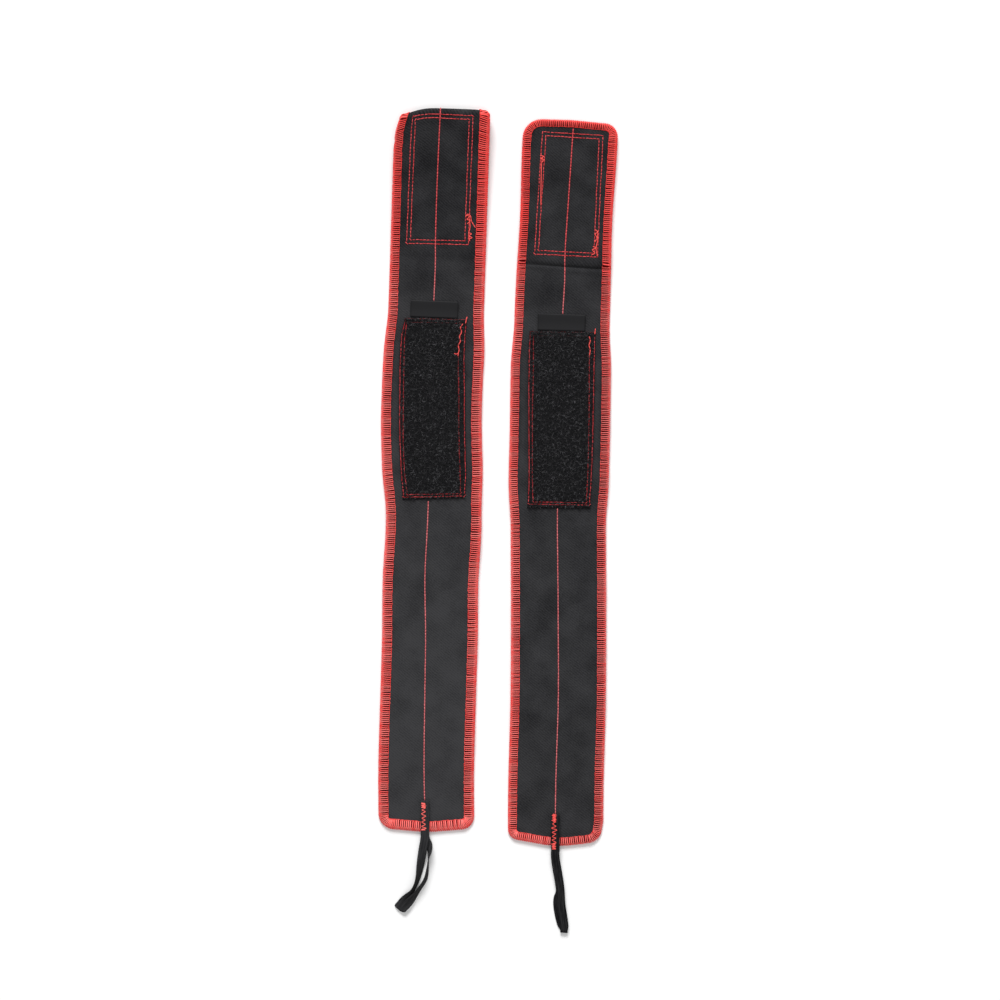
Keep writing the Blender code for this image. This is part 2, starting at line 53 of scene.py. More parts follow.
scene = bpy.context.scene
scene.view_settings.view_transform = "Standard"

# one strap cut flat, in metres: across from its middle, along from the thumb end, up from the table
strap = {
    "width": 0.0784, "endReach": 0.014, "band": 0.0075,
    "bulge": 0.0042, "bulgeFade": 0.040, "bulgeLead": 0.016, "bulgeTrail": 0.008,
    "patchFoot": 0.286, "patchHead": 0.434, "crease": 0.488, "hookHead": 0.6035,
    "foldStart": 0.6035 + 0.0007,
    "backLow": 0.0007, "backTop": 0.0015, "faceLow": 0.00175, "face": 0.00255, "edgeTop": 0.00325,
    "hookDrop": 0.00125, "foldRadius": 0.002, "sunk": 0.0002,
}

# how each wrap lies: the middle line as (along, aside), the lean of its two ends,
# and its sewing as (along, across)
wraps = {
    "left": {
        # the first value is painted sheen on this thumb loop's elastic
        "elasticPaintedSheen": 0.28, "length": 0.6176, "tipFold": math.radians(172), "stepStart": 0.480,
            "stepRadius": 0.030,
        "middle": [(0.000, -0.0600), (0.050, -0.0603), (0.115, -0.0586), (0.165, -0.0571), (0.212, -0.0566),
                   (0.262, -0.0539), (0.350, -0.0559), (0.435, -0.0522), (0.520, -0.0493),
                       (0.612, -0.0462)],
        "thumbEnd": (0.0054, 0.0042), "closingEnd": (-0.0008, -0.0008), "closingCorners": (0.014, 0.014),
        "endRise": 0.0015, "thumbCorners": (0.012, 0.010), "cornerInset": (0.0, 0.0),
            "squareInside": (0.9, 0.9),
        "bandLeft": [(0.0, 1.02), (0.30, 1.0), (0.45, 0.94), (0.62, 0.86)], "bandRight": [(0.0, 1.02),
            (0.62, 1.08)],
        "bandEnds": (1.06, 0.9), "fullEnd": [(-0.040, 0.50), (0.0, 0.35), (0.040, 0.40)],
        "fullRight": [(0.0, 0.0), (0.45, 0.0), (0.52, 0.12), (0.62, 0.12)],
        "swell": [(0.0007, 0.205, 0.6), (0.0004, 0.087, 2.2)], "flutter": [(0.0006, 0.041, 0.4),
            (0.0003, 0.019, 1.1)],
        # painted light on this strap's cloth, by along: lighter towards the thumb end
        "worn": [(0.0, 0.84), (0.12, 0.82), (0.27, 0.64), (0.40, 0.51), (0.455, 0.55), (0.50, 0.33),
            (0.62, 0.28)],
        "waist": (0.530, 0.040, 0.0), "rippleEnd": 0.500, "creaseDip": 0.0, "creaseLine": (0.4885, 0.0),
        "seam": [(0.026, -0.0013), (0.102, -0.0026), (0.179, -0.0039), (0.248, -0.0054), (0.285, -0.0043),
                 (0.457, -0.0020), (0.482, -0.0019), (0.498, -0.0024), (0.550, -0.0025), (0.612, -0.0016)],
        "patchOuter": {"left": [(0.2833, -0.0252), (0.3065, -0.0262), (0.3640, -0.0268),
            (0.4135, -0.0279), (0.4320, -0.0252)],
                       "right": [(0.2829, 0.0261), (0.3045, 0.0277), (0.3650, 0.0275), (0.4080, 0.0253),
                           (0.4330, 0.0255)]},
        "patchInner": {"left": [(0.2854, -0.0218), (0.3065, -0.0236), (0.3640, -0.0238),
            (0.4140, -0.0252), (0.4290, -0.0240)],
                       "right": [(0.2849, 0.0230), (0.3090, 0.0232), (0.3650, 0.0229), (0.4050, 0.0207),
                           (0.4300, 0.0222)]},
        "hookBox": [(-0.0266, 0.4957), (0.0254, 0.4962), (0.0258, 0.6028), (-0.0256, 0.6037)],
        "labelAside": -0.0014, "labelFoot": 0.4338, "headSunk": 0.60, "patchHem": 0.0021,
        "tabTails": [[(22.4, 519.4), (24.0, 521.6), (26.4, 520.2), (27.2, 516.4), (29.2, 513.0),
            (30.9, 510.6)],
                     [(23.0, 520.8), (25.6, 519.6), (23.6, 517.4), (26.2, 516.2), (24.0, 513.6)],
                     [(25.4, 518.0), (26.4, 511.5), (25.5, 505.2), (26.5, 499.0)],
                     [(25.2, 506.2), (27.6, 505.2), (25.6, 503.4), (28.2, 502.2), (25.4, 500.6)]],
        "patchTails": [[(23.0, 429.4), (21.2, 426.0), (22.4, 422.6), (20.8, 418.8), (21.9, 415.0),
            (20.2, 411.4), (21.0, 407.6), (20.2, 402.4)],
                       [(20.9, 405.2), (18.8, 404.0), (17.2, 404.4)],
                       [(25.4, 430.0), (25.9, 433.2), (26.4, 435.4)]],
        "thumbAside": -0.0012,
        "tack": {"wide": 0.0037, "aside": -0.0010, "start": -0.0020, "end": 0.0026, "head": 0.0040,
            "foot": 0.0030, "shade": 1.0},
        "over": [(-0.0006, -0.0070, 0.0047, 0), (-0.0018, -0.0135, 0.0036, -6),
                 (-0.0040, -0.0272, 0.0010, -32), (-0.0057, -0.0369, 0.0003, -56),
                 (-0.0081, -0.0441, 0.0003, -64), (-0.0109, -0.0492, 0.0003, -58),
                 (-0.0150, -0.0542, 0.0003, -26), (-0.0196, -0.0590, 0.0003, -6)],
        "toe": (-0.0240, -0.0640), "toeAslant": (0.0044, -0.0014),
        "under": [(-0.0172, -0.0625, 0.0023, -6), (-0.0124, -0.0572, 0.0019, -26),
                  (-0.0080, -0.0517, 0.0008, -52), (-0.0045, -0.0465, 0.0003, -60),
                  (-0.0011, -0.0417, 0.0003, -64), (0.0010, -0.0369, 0.0003, -68),
                  (0.0022, -0.0290, 0.0003, -80), (0.0030, -0.0205, 0.0003, -96),
                  (0.0038, -0.0152, 0.0003, -122), (0.0030, -0.0104, 0.0004, -152),
                  (0.0009, -0.0064, 0.0014, -174)],
        "underTurn": -180,
    },
    "right": {
        # the first value is painted sheen on this thumb loop's elastic
        "elasticPaintedSheen": -0.04, "length": 0.6115, "tipFold": 0.0, "stepStart": 0.488, "stepRadius": 0.006,
        "middle": [(0.0, 0.0487), (0.056, 0.0491), (0.123, 0.0509), (0.207, 0.0513),
                   (0.291, 0.0511), (0.350, 0.0524), (0.426, 0.0537), (0.502, 0.0564), (0.611, 0.0616)],
        "thumbEnd": (0.0078, 0.0050), "closingEnd": (-0.0008, -0.0020), "closingCorners": (0.0155, 0.0105),
        "endRise": 0.0008, "thumbCorners": (0.008, 0.012), "cornerInset": (0.0, 0.0026),
            "squareInside": (0.9, 0.0),
        "bandLeft": [(0.0, 0.90), (0.62, 0.88)], "bandRight": [(0.0, 0.92), (0.62, 0.94)],
        "bandEnds": (0.84, 0.74), "fullEnd": [(-0.040, 0.30), (0.0, 0.16), (0.020, 0.0), (0.040, -0.10)],
        "fullRight": [(0.0, -0.16), (0.45, -0.16), (0.52, 0.10), (0.62, 0.10)],
        "swell": [(0.0006, 0.180, 2.6), (0.0004, 0.094, 0.3)], "flutter": [(0.0005, 0.046, 2.0),
            (0.0003, 0.021, 0.2)],
        # painted light on this strap's cloth, by along: lighter towards the thumb end
        "worn": [(0.0, 0.53), (0.27, 0.51), (0.40, 0.47), (0.45, 0.52), (0.50, 0.39), (0.62, 0.36)],
        "waist": (0.528, 0.040, 0.0013), "rippleEnd": 0.640, "creaseDip": 0.0009,
            "creaseLine": (0.4893, -0.055),
        "seam": [(0.026, -0.0003), (0.073, -0.0001), (0.140, 0.0), (0.174, -0.0003), (0.242, -0.0007),
            (0.285, -0.0008),
                 (0.450, 0.0004), (0.477, 0.0010), (0.500, 0.0003), (0.532, 0.0009), (0.570, 0.0016),
                     (0.606, 0.0022)],
        "patchOuter": {"left": [(0.2885, -0.0253), (0.3084, -0.0250), (0.3590, -0.0263),
            (0.4180, -0.0268), (0.4330, -0.0264)],
                       "right": [(0.2880, 0.0261), (0.3180, 0.0273), (0.3600, 0.0276), (0.4190, 0.0279),
                           (0.4340, 0.0279)]},
        "patchInner": {"left": [(0.2904, -0.0213), (0.3085, -0.0222), (0.3590, -0.0234),
            (0.4095, -0.0233), (0.4298, -0.0238)],
                       "right": [(0.2900, 0.0236), (0.3180, 0.0243), (0.3600, 0.0242), (0.4100, 0.0238),
                           (0.4306, 0.0234)]},
        "hookBox": [(-0.0252, 0.4982), (0.0278, 0.4978), (0.0275, 0.6003), (-0.0235, 0.6010)],
        "labelAside": -0.0004, "labelFoot": 0.4346, "headSunk": 0.85, "patchHem": 0.0034,
        "tabTails": [[(-24.4, 581.0), (-21.6, 580.2), (-23.8, 578.2), (-20.8, 577.4), (-23.0, 575.2)],
                     [(-22.4, 579.0), (-22.9, 573.0), (-22.5, 556.0), (-21.8, 539.0)],
                     [(25.0, 520.6), (27.2, 519.0), (24.8, 517.0), (26.6, 514.2), (24.8, 510.0)],
                     [(23.6, 506.6), (26.4, 505.4), (23.2, 503.6), (25.4, 501.0), (22.4, 499.2)],
                     [(26.6, 519.4), (27.2, 512.0), (26.2, 505.0), (27.6, 498.6)]],
        "patchTails": [[(23.2, 430.2), (24.2, 426.6), (23.2, 423.0), (24.3, 419.0),
            (23.6, 413.4)], [(27.8, 432.4), (28.2, 437.0)]],
        "thumbAside": -0.0002,
        "tack": {"wide": 0.0031, "aside": -0.0012, "start": 0.0008, "end": -0.0016, "head": 0.0066,
            "foot": 0.0062, "shade": 0.35},
        "over": [(-0.0003, -0.006, 0.0046, 0), (0.0005, -0.0125, 0.0034, 0),
                 (0.0025, -0.0240, 0.0026, 0), (0.0041, -0.0355, 0.0024, 2),
                 (0.0048, -0.0470, 0.0023, 4), (0.0064, -0.0585, 0.0023, 2),
                 (0.0076, -0.0675, 0.0023, 0)],
        "toe": (0.0072, -0.0722), "toeAslant": (0.0, 0.0),
        "under": [(0.0058, -0.0672, 0.0003, 0), (0.0034, -0.0585, 0.0003, 0),
                  (0.0019, -0.0490, 0.0003, 0), (0.0022, -0.0435, 0.0003, 0), (0.0040, -0.0385, 0.0003, 0),
                  (0.0036, -0.0320, 0.0003, 0), (0.0022, -0.0240, 0.0004, 0), (0.0004, -0.0130, 0.0014, 0),
                  (-0.0002, -0.0062, 0.0026, 0)],
        "underTurn": 0,
    },
}


def easeStep(value):
    value = np.clip(value, 0.0, 1.0)
    return value * value * (3 - 2 * value)


def hump(value, width):
    return np.exp(-(value / width) ** 2)


def unit(vectors, least=0.0):
    return vectors / np.maximum(np.linalg.norm(vectors, axis=-1, keepdims=True), least)


def runAlong(points):  # the length walked at each point
    return np.concatenate([[0], np.cumsum(np.linalg.norm(np.diff(points, axis=0), axis=1))])


def lineThrough(knots, at):  # value and slope on a smooth line through (place, value) knots
    places, values = np.array(knots, float).T
    slopes = np.empty_like(values)
    slopes[1:-1] = (values[2:] - values[:-2]) / (places[2:] - places[:-2])
    slopes[0] = (values[1] - values[0]) / (places[1] - places[0])
    slopes[-1] = (values[-1] - values[-2]) / (places[-1] - places[-2])
    at = np.asarray(at, float)
    held = np.clip(at, places[0], places[-1])
    left = np.clip(np.searchsorted(places, held, side="right") - 1, 0, len(places) - 2)
    span, rise = places[left + 1] - places[left], values[left + 1] - values[left]
    t = (held - places[left]) / span
    value = ((1 + 2 * t) * (1 - t) ** 2 * values[left] + t * (1 - t) ** 2 * span * slopes[left]
             + t * t * (3 - 2 * t) * values[left + 1] + t * t * (t - 1) * span * slopes[left + 1])
    slope = (6 * t * (1 - t) * rise / span + (1 - t) * (1 - 3 * t) * slopes[left]
             + t * (3 * t - 2) * slopes[left + 1])
    return value + slope * (at - held), slope


def sideView(stretches, along, up):  # reach over the table and height, walking (length, turn) stretches
    reach = height = pitch = start = 0.0
    outReach, outHeight = np.zeros(len(along)), np.zeros(len(along))
    for number, (length, turn) in enumerate(stretches):
        steps = np.append(along - start, length)  # every point's step into this stretch, then its end
        lean = pitch + steps * turn / length
        if turn:
            far = reach + length / turn * (np.sin(lean) - math.sin(pitch))
            high = height + length / turn * (math.cos(pitch) - np.cos(lean))
        else:
            far, high = reach + steps * math.cos(pitch), height + steps * math.sin(pitch)
        past = (steps[:-1] >= 0) | (number == 0)
        outReach = np.where(past, far[:-1] - up * np.sin(lean[:-1]), outReach)
        outHeight = np.where(past, high[:-1] + up * np.cos(lean[:-1]), outHeight)
        reach, height = far[-1], high[-1]
        pitch += turn
        start += length
    return outReach, outHeight


def sideStretches(wrap):
    radius, start, fold = wrap["stepRadius"], wrap["stepStart"], wrap["tipFold"]
    turn = math.acos(1 - strap["hookDrop"] / (2 * radius))

    def stepped(lift, end, tip):
        rise = [(radius * turn, turn), (radius * (turn - lift), lift - turn)]
        return [(start, 0.0), *rise, (end - start - rise[0][0] - rise[1][0], 0.0), *tip]

    if not fold:
        return stepped(0.0, wrap["length"], [])
    curl = strap["foldRadius"] * fold
    tip = [(curl, -fold), (wrap["length"] - strap["foldStart"] - curl, 0.0)]
    low, high = 0.0, 0.5
    for _ in range(40):  # the lift that sets the folded tip down on the table
        lift = (low + high) / 2
        stretches = stepped(lift, strap["foldStart"], tip)
        ends = sideView(stretches, np.full(2, wrap["length"]), np.array([0.0, strap["edgeTop"]]))[1]
        low, high = (lift, high) if ends.min() < 0 else (low, lift)
    return stretches


def halfWidth(along):
    fadeIn = easeStep((along - strap["patchFoot"] + strap["bulgeLead"]) / strap["bulgeFade"])
    fadeOut = easeStep((strap["patchHead"] - along + strap["bulgeTrail"]) / strap["bulgeFade"])
    return (strap["width"] + strap["bulge"] * fadeIn * fadeOut) / 2


# soft cloth: where its waves fade out, and the lip beside its crease
softness = {"start": 0.03, "startFade": 0.06, "endFade": 0.03, "labelAt": 0.438, "labelCalm": 0.030,
            "edgeTurn": 1.9, "creaseWide": 0.0016, "lip": 0.45, "lipBack": 0.0036, "lipWide": 0.0020}
# folded tip: how far it bows back across, and how its left corner is drawn in
tip = {"start": 0.545, "fade": 0.055, "bowLeft": 0.0040, "bowRight": 0.0002, "middle": 0.0009,
       "sagLeft": 0.0048, "sagRight": 0.0026, "drawn": 0.0040, "drawnAt": 0.588, "drawnOver": 0.0175,
       "pinch": 0.0007, "pinchAt": 0.587, "pinchWide": 0.0045}


def wave(knots, along, turn=0.0):
    return sum(high * (0.5 + 0.5 * np.sin(2 * np.pi * along / long + start + turn)) for high, long,
               start in knots)


def ripple(wrap, across, along, up):  # the same for all layers of the cloth
    side = across / halfWidth(along)
    calm = easeStep((along - softness["start"]) / softness["startFade"])
    calm = calm * easeStep((wrap["rippleEnd"] - along) / softness["endFade"])
    # flat where the label turns
    calm = calm * (1 - hump(along - softness["labelAt"], softness["labelCalm"]))
    flutter = wave(wrap["flutter"], along, softness["edgeTurn"] * np.sign(side))
    rise = calm * (wave(wrap["swell"], along) + np.abs(side) ** 3 * flutter)
    place, lean = wrap["creaseLine"]
    past = along - place - lean * across
    dip = hump(past, softness["creaseWide"]) - softness["lip"] * hump(past + softness["lipBack"],
                                                                      softness["lipWide"])
    return rise - wrap["creaseDip"] * dip * np.clip(up / strap["edgeTop"], 0.0, 1.4)


def tipBow(wrap, across, along):  # a folded tip bows back to its corners, most at the left one
    if not wrap["tipFold"]:
        return 0.0
    side = 2 * across / strap["width"]
    back = np.where(side < 0, tip["bowLeft"], tip["bowRight"]) * side ** 2 - tip["middle"]
    back = back + tip["sagLeft"] * easeStep((-side
                                             - 0.25) / 0.9) + tip["sagRight"] * easeStep((side - 0.82) / 0.25)
    return back * easeStep((along - tip["start"]) / tip["fade"])


def drawnIn(wrap, across, along):  # both edges of the tab, and the folded tip's left corner
    place, spread, deep = wrap["waist"]
    side = 2 * across / strap["width"]
    draw = -np.sign(side) * deep * hump(along - place, spread) * easeStep((np.abs(side) - 0.7) / 0.2)
    if wrap["tipFold"]:
        corner = tip["drawn"] * np.clip((along - tip["drawnAt"]) / tip["drawnOver"], 0, 1) ** 1.5
        corner = corner + tip["pinch"] * hump(along - tip["pinchAt"], tip["pinchWide"])
        draw = draw + corner * easeStep((-side - 0.55) / 0.3)
    return draw


def layDown(wrap, flat, ripples=True):
    across, along, up = np.asarray(flat, float).reshape(-1, 3).T
    if ripples:
        up = up + ripple(wrap, across, along, up)
        across = across + drawnIn(wrap, across, along)
    reach, height = sideView(wrap["stretches"], along, up)
    if ripples:
        reach = reach - tipBow(wrap, across, along)
    aside, slope = lineThrough(wrap["middle"], reach)
    heading = np.arctan(slope)
    laid = np.stack([aside + across * np.cos(heading), reach - across * np.sin(heading), height], 1)
    return laid + wrap["shift"]


# bends from the strap to a moving body over the few millimetres beside a fold
def foldAt(side, name, reach):
    hinge = joints[f"{side}_{name}"]
    start = np.array(hinge["pos_m"])
    way = np.cross((0, 0, 1), hinge["axis"])
    return {"body": hinge["child"], "start": tuple(start), "end": tuple(start + way * reach)}


for side, wrap in wraps.items():
    wrap["stretches"] = sideStretches(wrap)
    wrap["shift"] = np.zeros(3)
    wrap["tabFold"] = foldAt(side, "tab_fold", 0.0062)
    wrap["thumbFold"] = foldAt(side, "thumb_fold", 0.005)
    creased = layDown(wrap, [(0, strap["crease"], 0)], False)[0]
    wrap["shift"] = (np.array(joints[side + "_tab_fold"]["pos_m"]) - creased) * (1, 1, 0)


def lineAlong(knots, step=0.004):  # (across, along) points through (along, across) knots
    first, last = knots[0][0], knots[-1][0]
    along = np.linspace(first, last, max(2, round(abs(last - first) / step) + 1))
    return np.stack([lineThrough(knots, along)[0], along], 1)


def boxLine(sides):  # closed row, anticlockwise from its lower right corner
    return np.concatenate([lineAlong(sides["right"]), lineAlong(sides["left"])[::-1]])


def insetBox(corners, inset):
    middle = np.mean(corners, 0)
    return np.array(corners) - np.sign(np.array(corners) - middle) * inset


def roundedLine(corners, arcs=8):  # (across, along, radius) corners of a closed line
    spots = [complex(across, along) for across, along, _ in corners]
    points = []
    for number, (corner, (_, _, radius)) in enumerate(zip(spots, corners)):
        if not radius:
            points.append(corner)
            continue
        back, ahead = spots[number - 1] - corner, spots[(number + 1) % len(spots)] - corner
        back, ahead = back / abs(back), ahead / abs(ahead)
        between = back.conjugate() * ahead
        half = math.acos(max(-1.0, min(1.0, between.real))) / 2
        centre = corner + (back + ahead) / abs(back + ahead) * radius / math.sin(half)
        first = corner + back * radius / math.tan(half) - centre
        sweep = (math.pi - 2 * half) * (1 if between.imag < 0 else -1)
        points += [centre + first * np.exp(1j * angle) for angle in np.linspace(0, sweep, arcs + 1)]
    return np.column_stack([np.real(points), np.imag(points)])


def cutEdge(wrap):  # the strap's cut edge, anticlockwise
    length, corners = wrap["length"], wrap["closingCorners"]
    low, high, tight, draw = wrap["thumbEnd"], wrap["closingEnd"], wrap["thumbCorners"], wrap["cornerInset"]
    along = np.linspace(0.022, length - 0.018, 120)
    wide, bow = strap["width"] / 2, 0.09
    right = [(halfWidth(at), at, 0) for at in along]
    left = [(-halfWidth(at), at, 0) for at in along[::-1]]
    ends = [(draw[0] - wide, low[0], tight[0]), (0, wrap["endRise"], bow),
            (wide - draw[1], low[1], tight[1])]
    tops = [(wide, length + high[1], corners[1]), (0, length, bow), (-wide, length + high[0], corners[0])]
    return roundedLine(ends + right + tops + left)


def bandScale(wrap, line):  # how wide the overlock is at each point of the cut edge
    across, along = line.T
    left, right = (lineThrough(wrap[hand], along)[0] for hand in ("bandLeft", "bandRight"))
    sides = np.where(across < 0, left, right)
    for value, inward in zip(wrap["bandEnds"], (along, wrap["length"] - along)):
        share = easeStep(1.15 - inward / strap["endReach"])
        sides = sides * (1 - share) + value * share
    for hand, way in enumerate((-1, 1)):  # and shorter where its inner corners are square
        tight, band, least = wrap["thumbCorners"][hand], strap["band"], 1e-6
        out = np.clip(way * across - strap["width"] / 2 + wrap["cornerInset"][hand] + tight, least, None)
        down = np.clip(tight + wrap["thumbEnd"][hand] - along, least, None)
        steep = np.maximum(out, down) / np.hypot(out, down)
        short = 1 - (tight / band - (tight - band) / band / steep)
        sides = sides * (1 - wrap["squareInside"][hand] * np.where((out > least) & (down > least), short,
                                                                   0.0))
    return sides


def endFullness(wrap, line):  # the overlock crowds together at the thumb end
    across, along = line.T
    atEnd = easeStep(1.3 - along / 0.010)
    atRight = np.where(across > 0, lineThrough(wrap["fullRight"], along)[0], 0.0)
    return lineThrough(wrap["fullEnd"], across)[0] * atEnd + atRight * (1 - atEnd)


# plain meshes
def makePiece(name, points, faces, material=None, **marks):
    mesh = bpy.data.meshes.new(name)
    mesh.from_pydata(np.asarray(points).tolist(), [], faces)
    for mark, values in marks.items():
        data = mesh.attributes.new(mark, "FLOAT_VECTOR", "POINT").data
        data.foreach_set("vector", np.asarray(values, np.float32).ravel())
    if material:
        mesh.materials.append(material)
    mesh.shade_smooth()
    return showObject(name, mesh)


def showObject(name, data):
    piece = bpy.data.objects.new(name, data)
    scene.collection.objects.link(piece)
    return piece


def gridOf(*parts):  # across, along and up as one grid of points
    return np.stack(np.broadcast_arrays(*parts), -1)


def gridFaces(number):
    return np.stack([number[:-1, :-1], number[:-1, 1:], number[1:, 1:], number[1:, :-1]], -1).reshape(-1, 4)


def closedSheet(top, bottom):  # two grids of points, joined round their rim
    rows, columns = top.shape[:2]
    number = np.arange(rows * columns).reshape(rows, columns)
    upper = gridFaces(number)
    lower = upper[:, ::-1] + rows * columns
    ring = np.concatenate([number[0, :-1], number[:-1, -1], number[-1, :0:-1], number[:0:-1, 0]])
    ahead = np.roll(ring, -1)
    rim = np.stack([ring, ring + rows * columns, ahead + rows * columns, ahead], -1)
    points = np.concatenate([top.reshape(-1, 3), bottom.reshape(-1, 3)])
    return points, np.concatenate([upper, lower, rim]).tolist()


# a thread, marked with length, turn and painted shading (lighter where it faces the light, darker where it
# lies in shade)
def strand(points, wide, thick=None, sides=6, sideways=None, paintedShading=0.0):
    points = np.asarray(points, float)
    count = len(points)
    wide = np.broadcast_to(wide, count)
    thick = wide if thick is None else np.broadcast_to(thick, count)
    way = unit(np.gradient(points, axis=0))
    aside = np.cross((0, 0, 1),
                     way) if sideways is None else np.broadcast_to(np.array(sideways, float), (count, 3))
    aside = unit(aside - np.sum(aside * way, 1, keepdims=True) * way)
    over = np.cross(way, aside)
    turn = np.arange(sides) / sides
    angle = 2 * np.pi * turn - np.pi / 2
    rings = (points[:, None] + aside[:, None] * (np.cos(angle) * wide[:, None])[..., None]
             + over[:, None] * (np.sin(angle) * thick[:, None])[..., None])
    paintedShadings = np.repeat(np.broadcast_to(paintedShading, count), sides)
    marks = np.stack([np.repeat(runAlong(points), sides), np.tile(turn, count), paintedShadings], 1)
    number = np.arange(count * sides).reshape(count, sides)
    beside = np.roll(number, -1, 1)
    faces = np.stack([number[:-1], beside[:-1], beside[1:], number[1:]], -1).reshape(-1, 4).tolist()
    faces += [number[0, ::-1].tolist(), number[-1].tolist()]
    return rings.reshape(-1, 3), faces, marks


def gather(strands):
    points, faces, marks = [], [], []
    for rings, quads, mark in strands:
        base = sum(len(part) for part in points)
        points.append(rings)
        marks.append(mark)
        faces += [[corner + base for corner in quad] for quad in quads]
    return np.concatenate(points), faces, np.concatenate(marks)


def smoothed(points, parts):  # a denser line through a few points
    points = np.asarray(points, float)
    run, last = runAlong(points), len(points) - 1
    at = np.interp(np.linspace(0, last, last * parts + 1), np.arange(last + 1), run)
    return np.stack([lineThrough(list(zip(run, values)), at)[0] for values in points.T], 1)


# node tree helpers, for shaders and geometry alike
def connect(tree, value, socket):
    if isinstance(value, bpy.types.NodeSocket):
        tree.links.new(value, socket)
    else:
        socket.default_value = value


def addNode(tree, kind, values=None, **settings):
    node = tree.nodes.new(kind)
    for name, setting in settings.items():
        setattr(node, name, setting)
    for name, value in (values or {}).items():
        connect(tree, value, node.inputs[name])
    return node


def doMath(tree, operation, *values):
    return addNode(tree, "ShaderNodeMath", dict(enumerate(values)), operation=operation).outputs[0]


def times(tree, *values):
    return doMath(tree, "MULTIPLY", *values)


def plus(tree, *values):
    return doMath(tree, "ADD", *values)


def timesPlus(tree, *values):
    return doMath(tree, "MULTIPLY_ADD", *values)


def waveOf(tree, turns):  # 0 to 1 and back on each turn
    return timesPlus(tree, doMath(tree, "SINE", times(tree, turns, 2 * math.pi)), 0.5, 0.5)


def fitRange(tree, *values):
    return addNode(tree, "ShaderNodeMapRange", dict(enumerate(values))).outputs[0]


def partsOf(tree, vector):
    return addNode(tree, "ShaderNodeSeparateXYZ", {0: vector}).outputs


def mixColour(tree, share, *colours):
    pair = [colour if isinstance(colour, bpy.types.NodeSocket) else (*colour, 1.0) for colour in colours]
    return addNode(tree, "ShaderNodeMix", {0: share, 6: pair[0], 7: pair[1]}, data_type="RGBA").outputs[2]


def noiseFrom(tree, place, scale, detail=2.0, roughness=0.5):
    values = {"Vector": place, "Scale": scale, "Detail": detail, "Roughness": roughness}
    return addNode(tree, "ShaderNodeTexNoise", values).outputs["Fac"]


def newGroup(name, inputs, outputs, kind="ShaderNodeTree"):
    tree = bpy.data.node_groups.new(name, kind)
    for way, sockets in (("INPUT", inputs), ("OUTPUT", outputs)):
        for label, socket in sockets.items():
            tree.interface.new_socket(label, in_out=way, socket_type="NodeSocket" + socket)
    return tree, tree.nodes.new("NodeGroupInput").outputs, tree.nodes.new("NodeGroupOutput").inputs


# diagonal weave, from a piece's own flat coordinates
weaveTree, given, made = newGroup("twillWeave",
                                  {"Flat": "Vector", "Pitch": "Float", "Slant": "Float", "Wander": "Float"},
                                  {"Height": "Float", "Ridge": "Float"})
tree = weaveTree
x, y, _ = partsOf(tree, given["Flat"])
sine, cosine = doMath(tree, "SINE", given["Slant"]), doMath(tree, "COSINE", given["Slant"])
over = plus(tree, times(tree, x, sine), times(tree, y, cosine))
beside = doMath(tree, "SUBTRACT", times(tree, x, cosine), times(tree, y, sine))
drift = times(tree, noiseFrom(tree, given["Flat"], 260.0), given["Wander"])
ridge = waveOf(tree, plus(tree, doMath(tree, "DIVIDE", over, given["Pitch"]), drift))
step = waveOf(tree, doMath(tree, "DIVIDE", beside, given["Pitch"]))
connect(tree, times(tree, ridge, timesPlus(tree, step, 0.35, 0.65)), made["Height"])
connect(tree, ridge, made["Ridge"])

# twisted thread, from the length and turn marked on each strand
twistTree, given, made = newGroup("threadTwist", {"Strand": "Vector", "Twist": "Float"},
                                  {"Height": "Float", "Ply": "Float"})
tree = twistTree
length, turn, _ = partsOf(tree, given["Strand"])
ply = waveOf(tree, plus(tree, doMath(tree, "DIVIDE", length, given["Twist"]), times(tree, turn, 2.0)))
connect(tree, doMath(tree, "POWER", ply, 0.6), made["Height"])
connect(tree, ply, made["Ply"])

# two sizes of noise mixed, for wear and loose fibres
fibreTree, given, made = newGroup("fibreFade",
                                  {"Place": "Vector", "Broad": "Float", "Fine": "Float", "Share": "Float"},
                                  {"Fade": "Float"})
tree = fibreTree
broad = noiseFrom(tree, given["Place"], given["Broad"], 3.0)
fine = noiseFrom(tree, given["Place"], given["Fine"], 2.0, 0.6)
connect(tree, addNode(tree, "ShaderNodeMix", {0: given["Share"], 2: broad, 3: fine}).outputs[0],
        made["Fade"])


def useGroup(tree, group, **values):
    return addNode(tree, "ShaderNodeGroup", values, node_tree=group).outputs


def readMark(tree, name, part="Vector"):
    return addNode(tree, "ShaderNodeAttribute", attribute_name=name).outputs[part]


def newMaterial(name, **constants):
    material = bpy.data.materials.new(name)
    material.use_nodes = True
    shader = material.node_tree.nodes["Principled BSDF"]
    for label, value in constants.items():
        shader.inputs[label.replace("_", " ")].default_value = value
    return material, material.node_tree, shader.inputs


def addLook(tree, shader, colour, rough, bump=None):
    connect(tree, colour, shader["Base Color"])
    connect(tree, rough, shader["Roughness"])
    if bump:
        node = addNode(tree, "ShaderNodeBump", dict(zip(("Height", "Strength", "Distance"), bump)))
        connect(tree, node.outputs["Normal"], shader["Normal"])
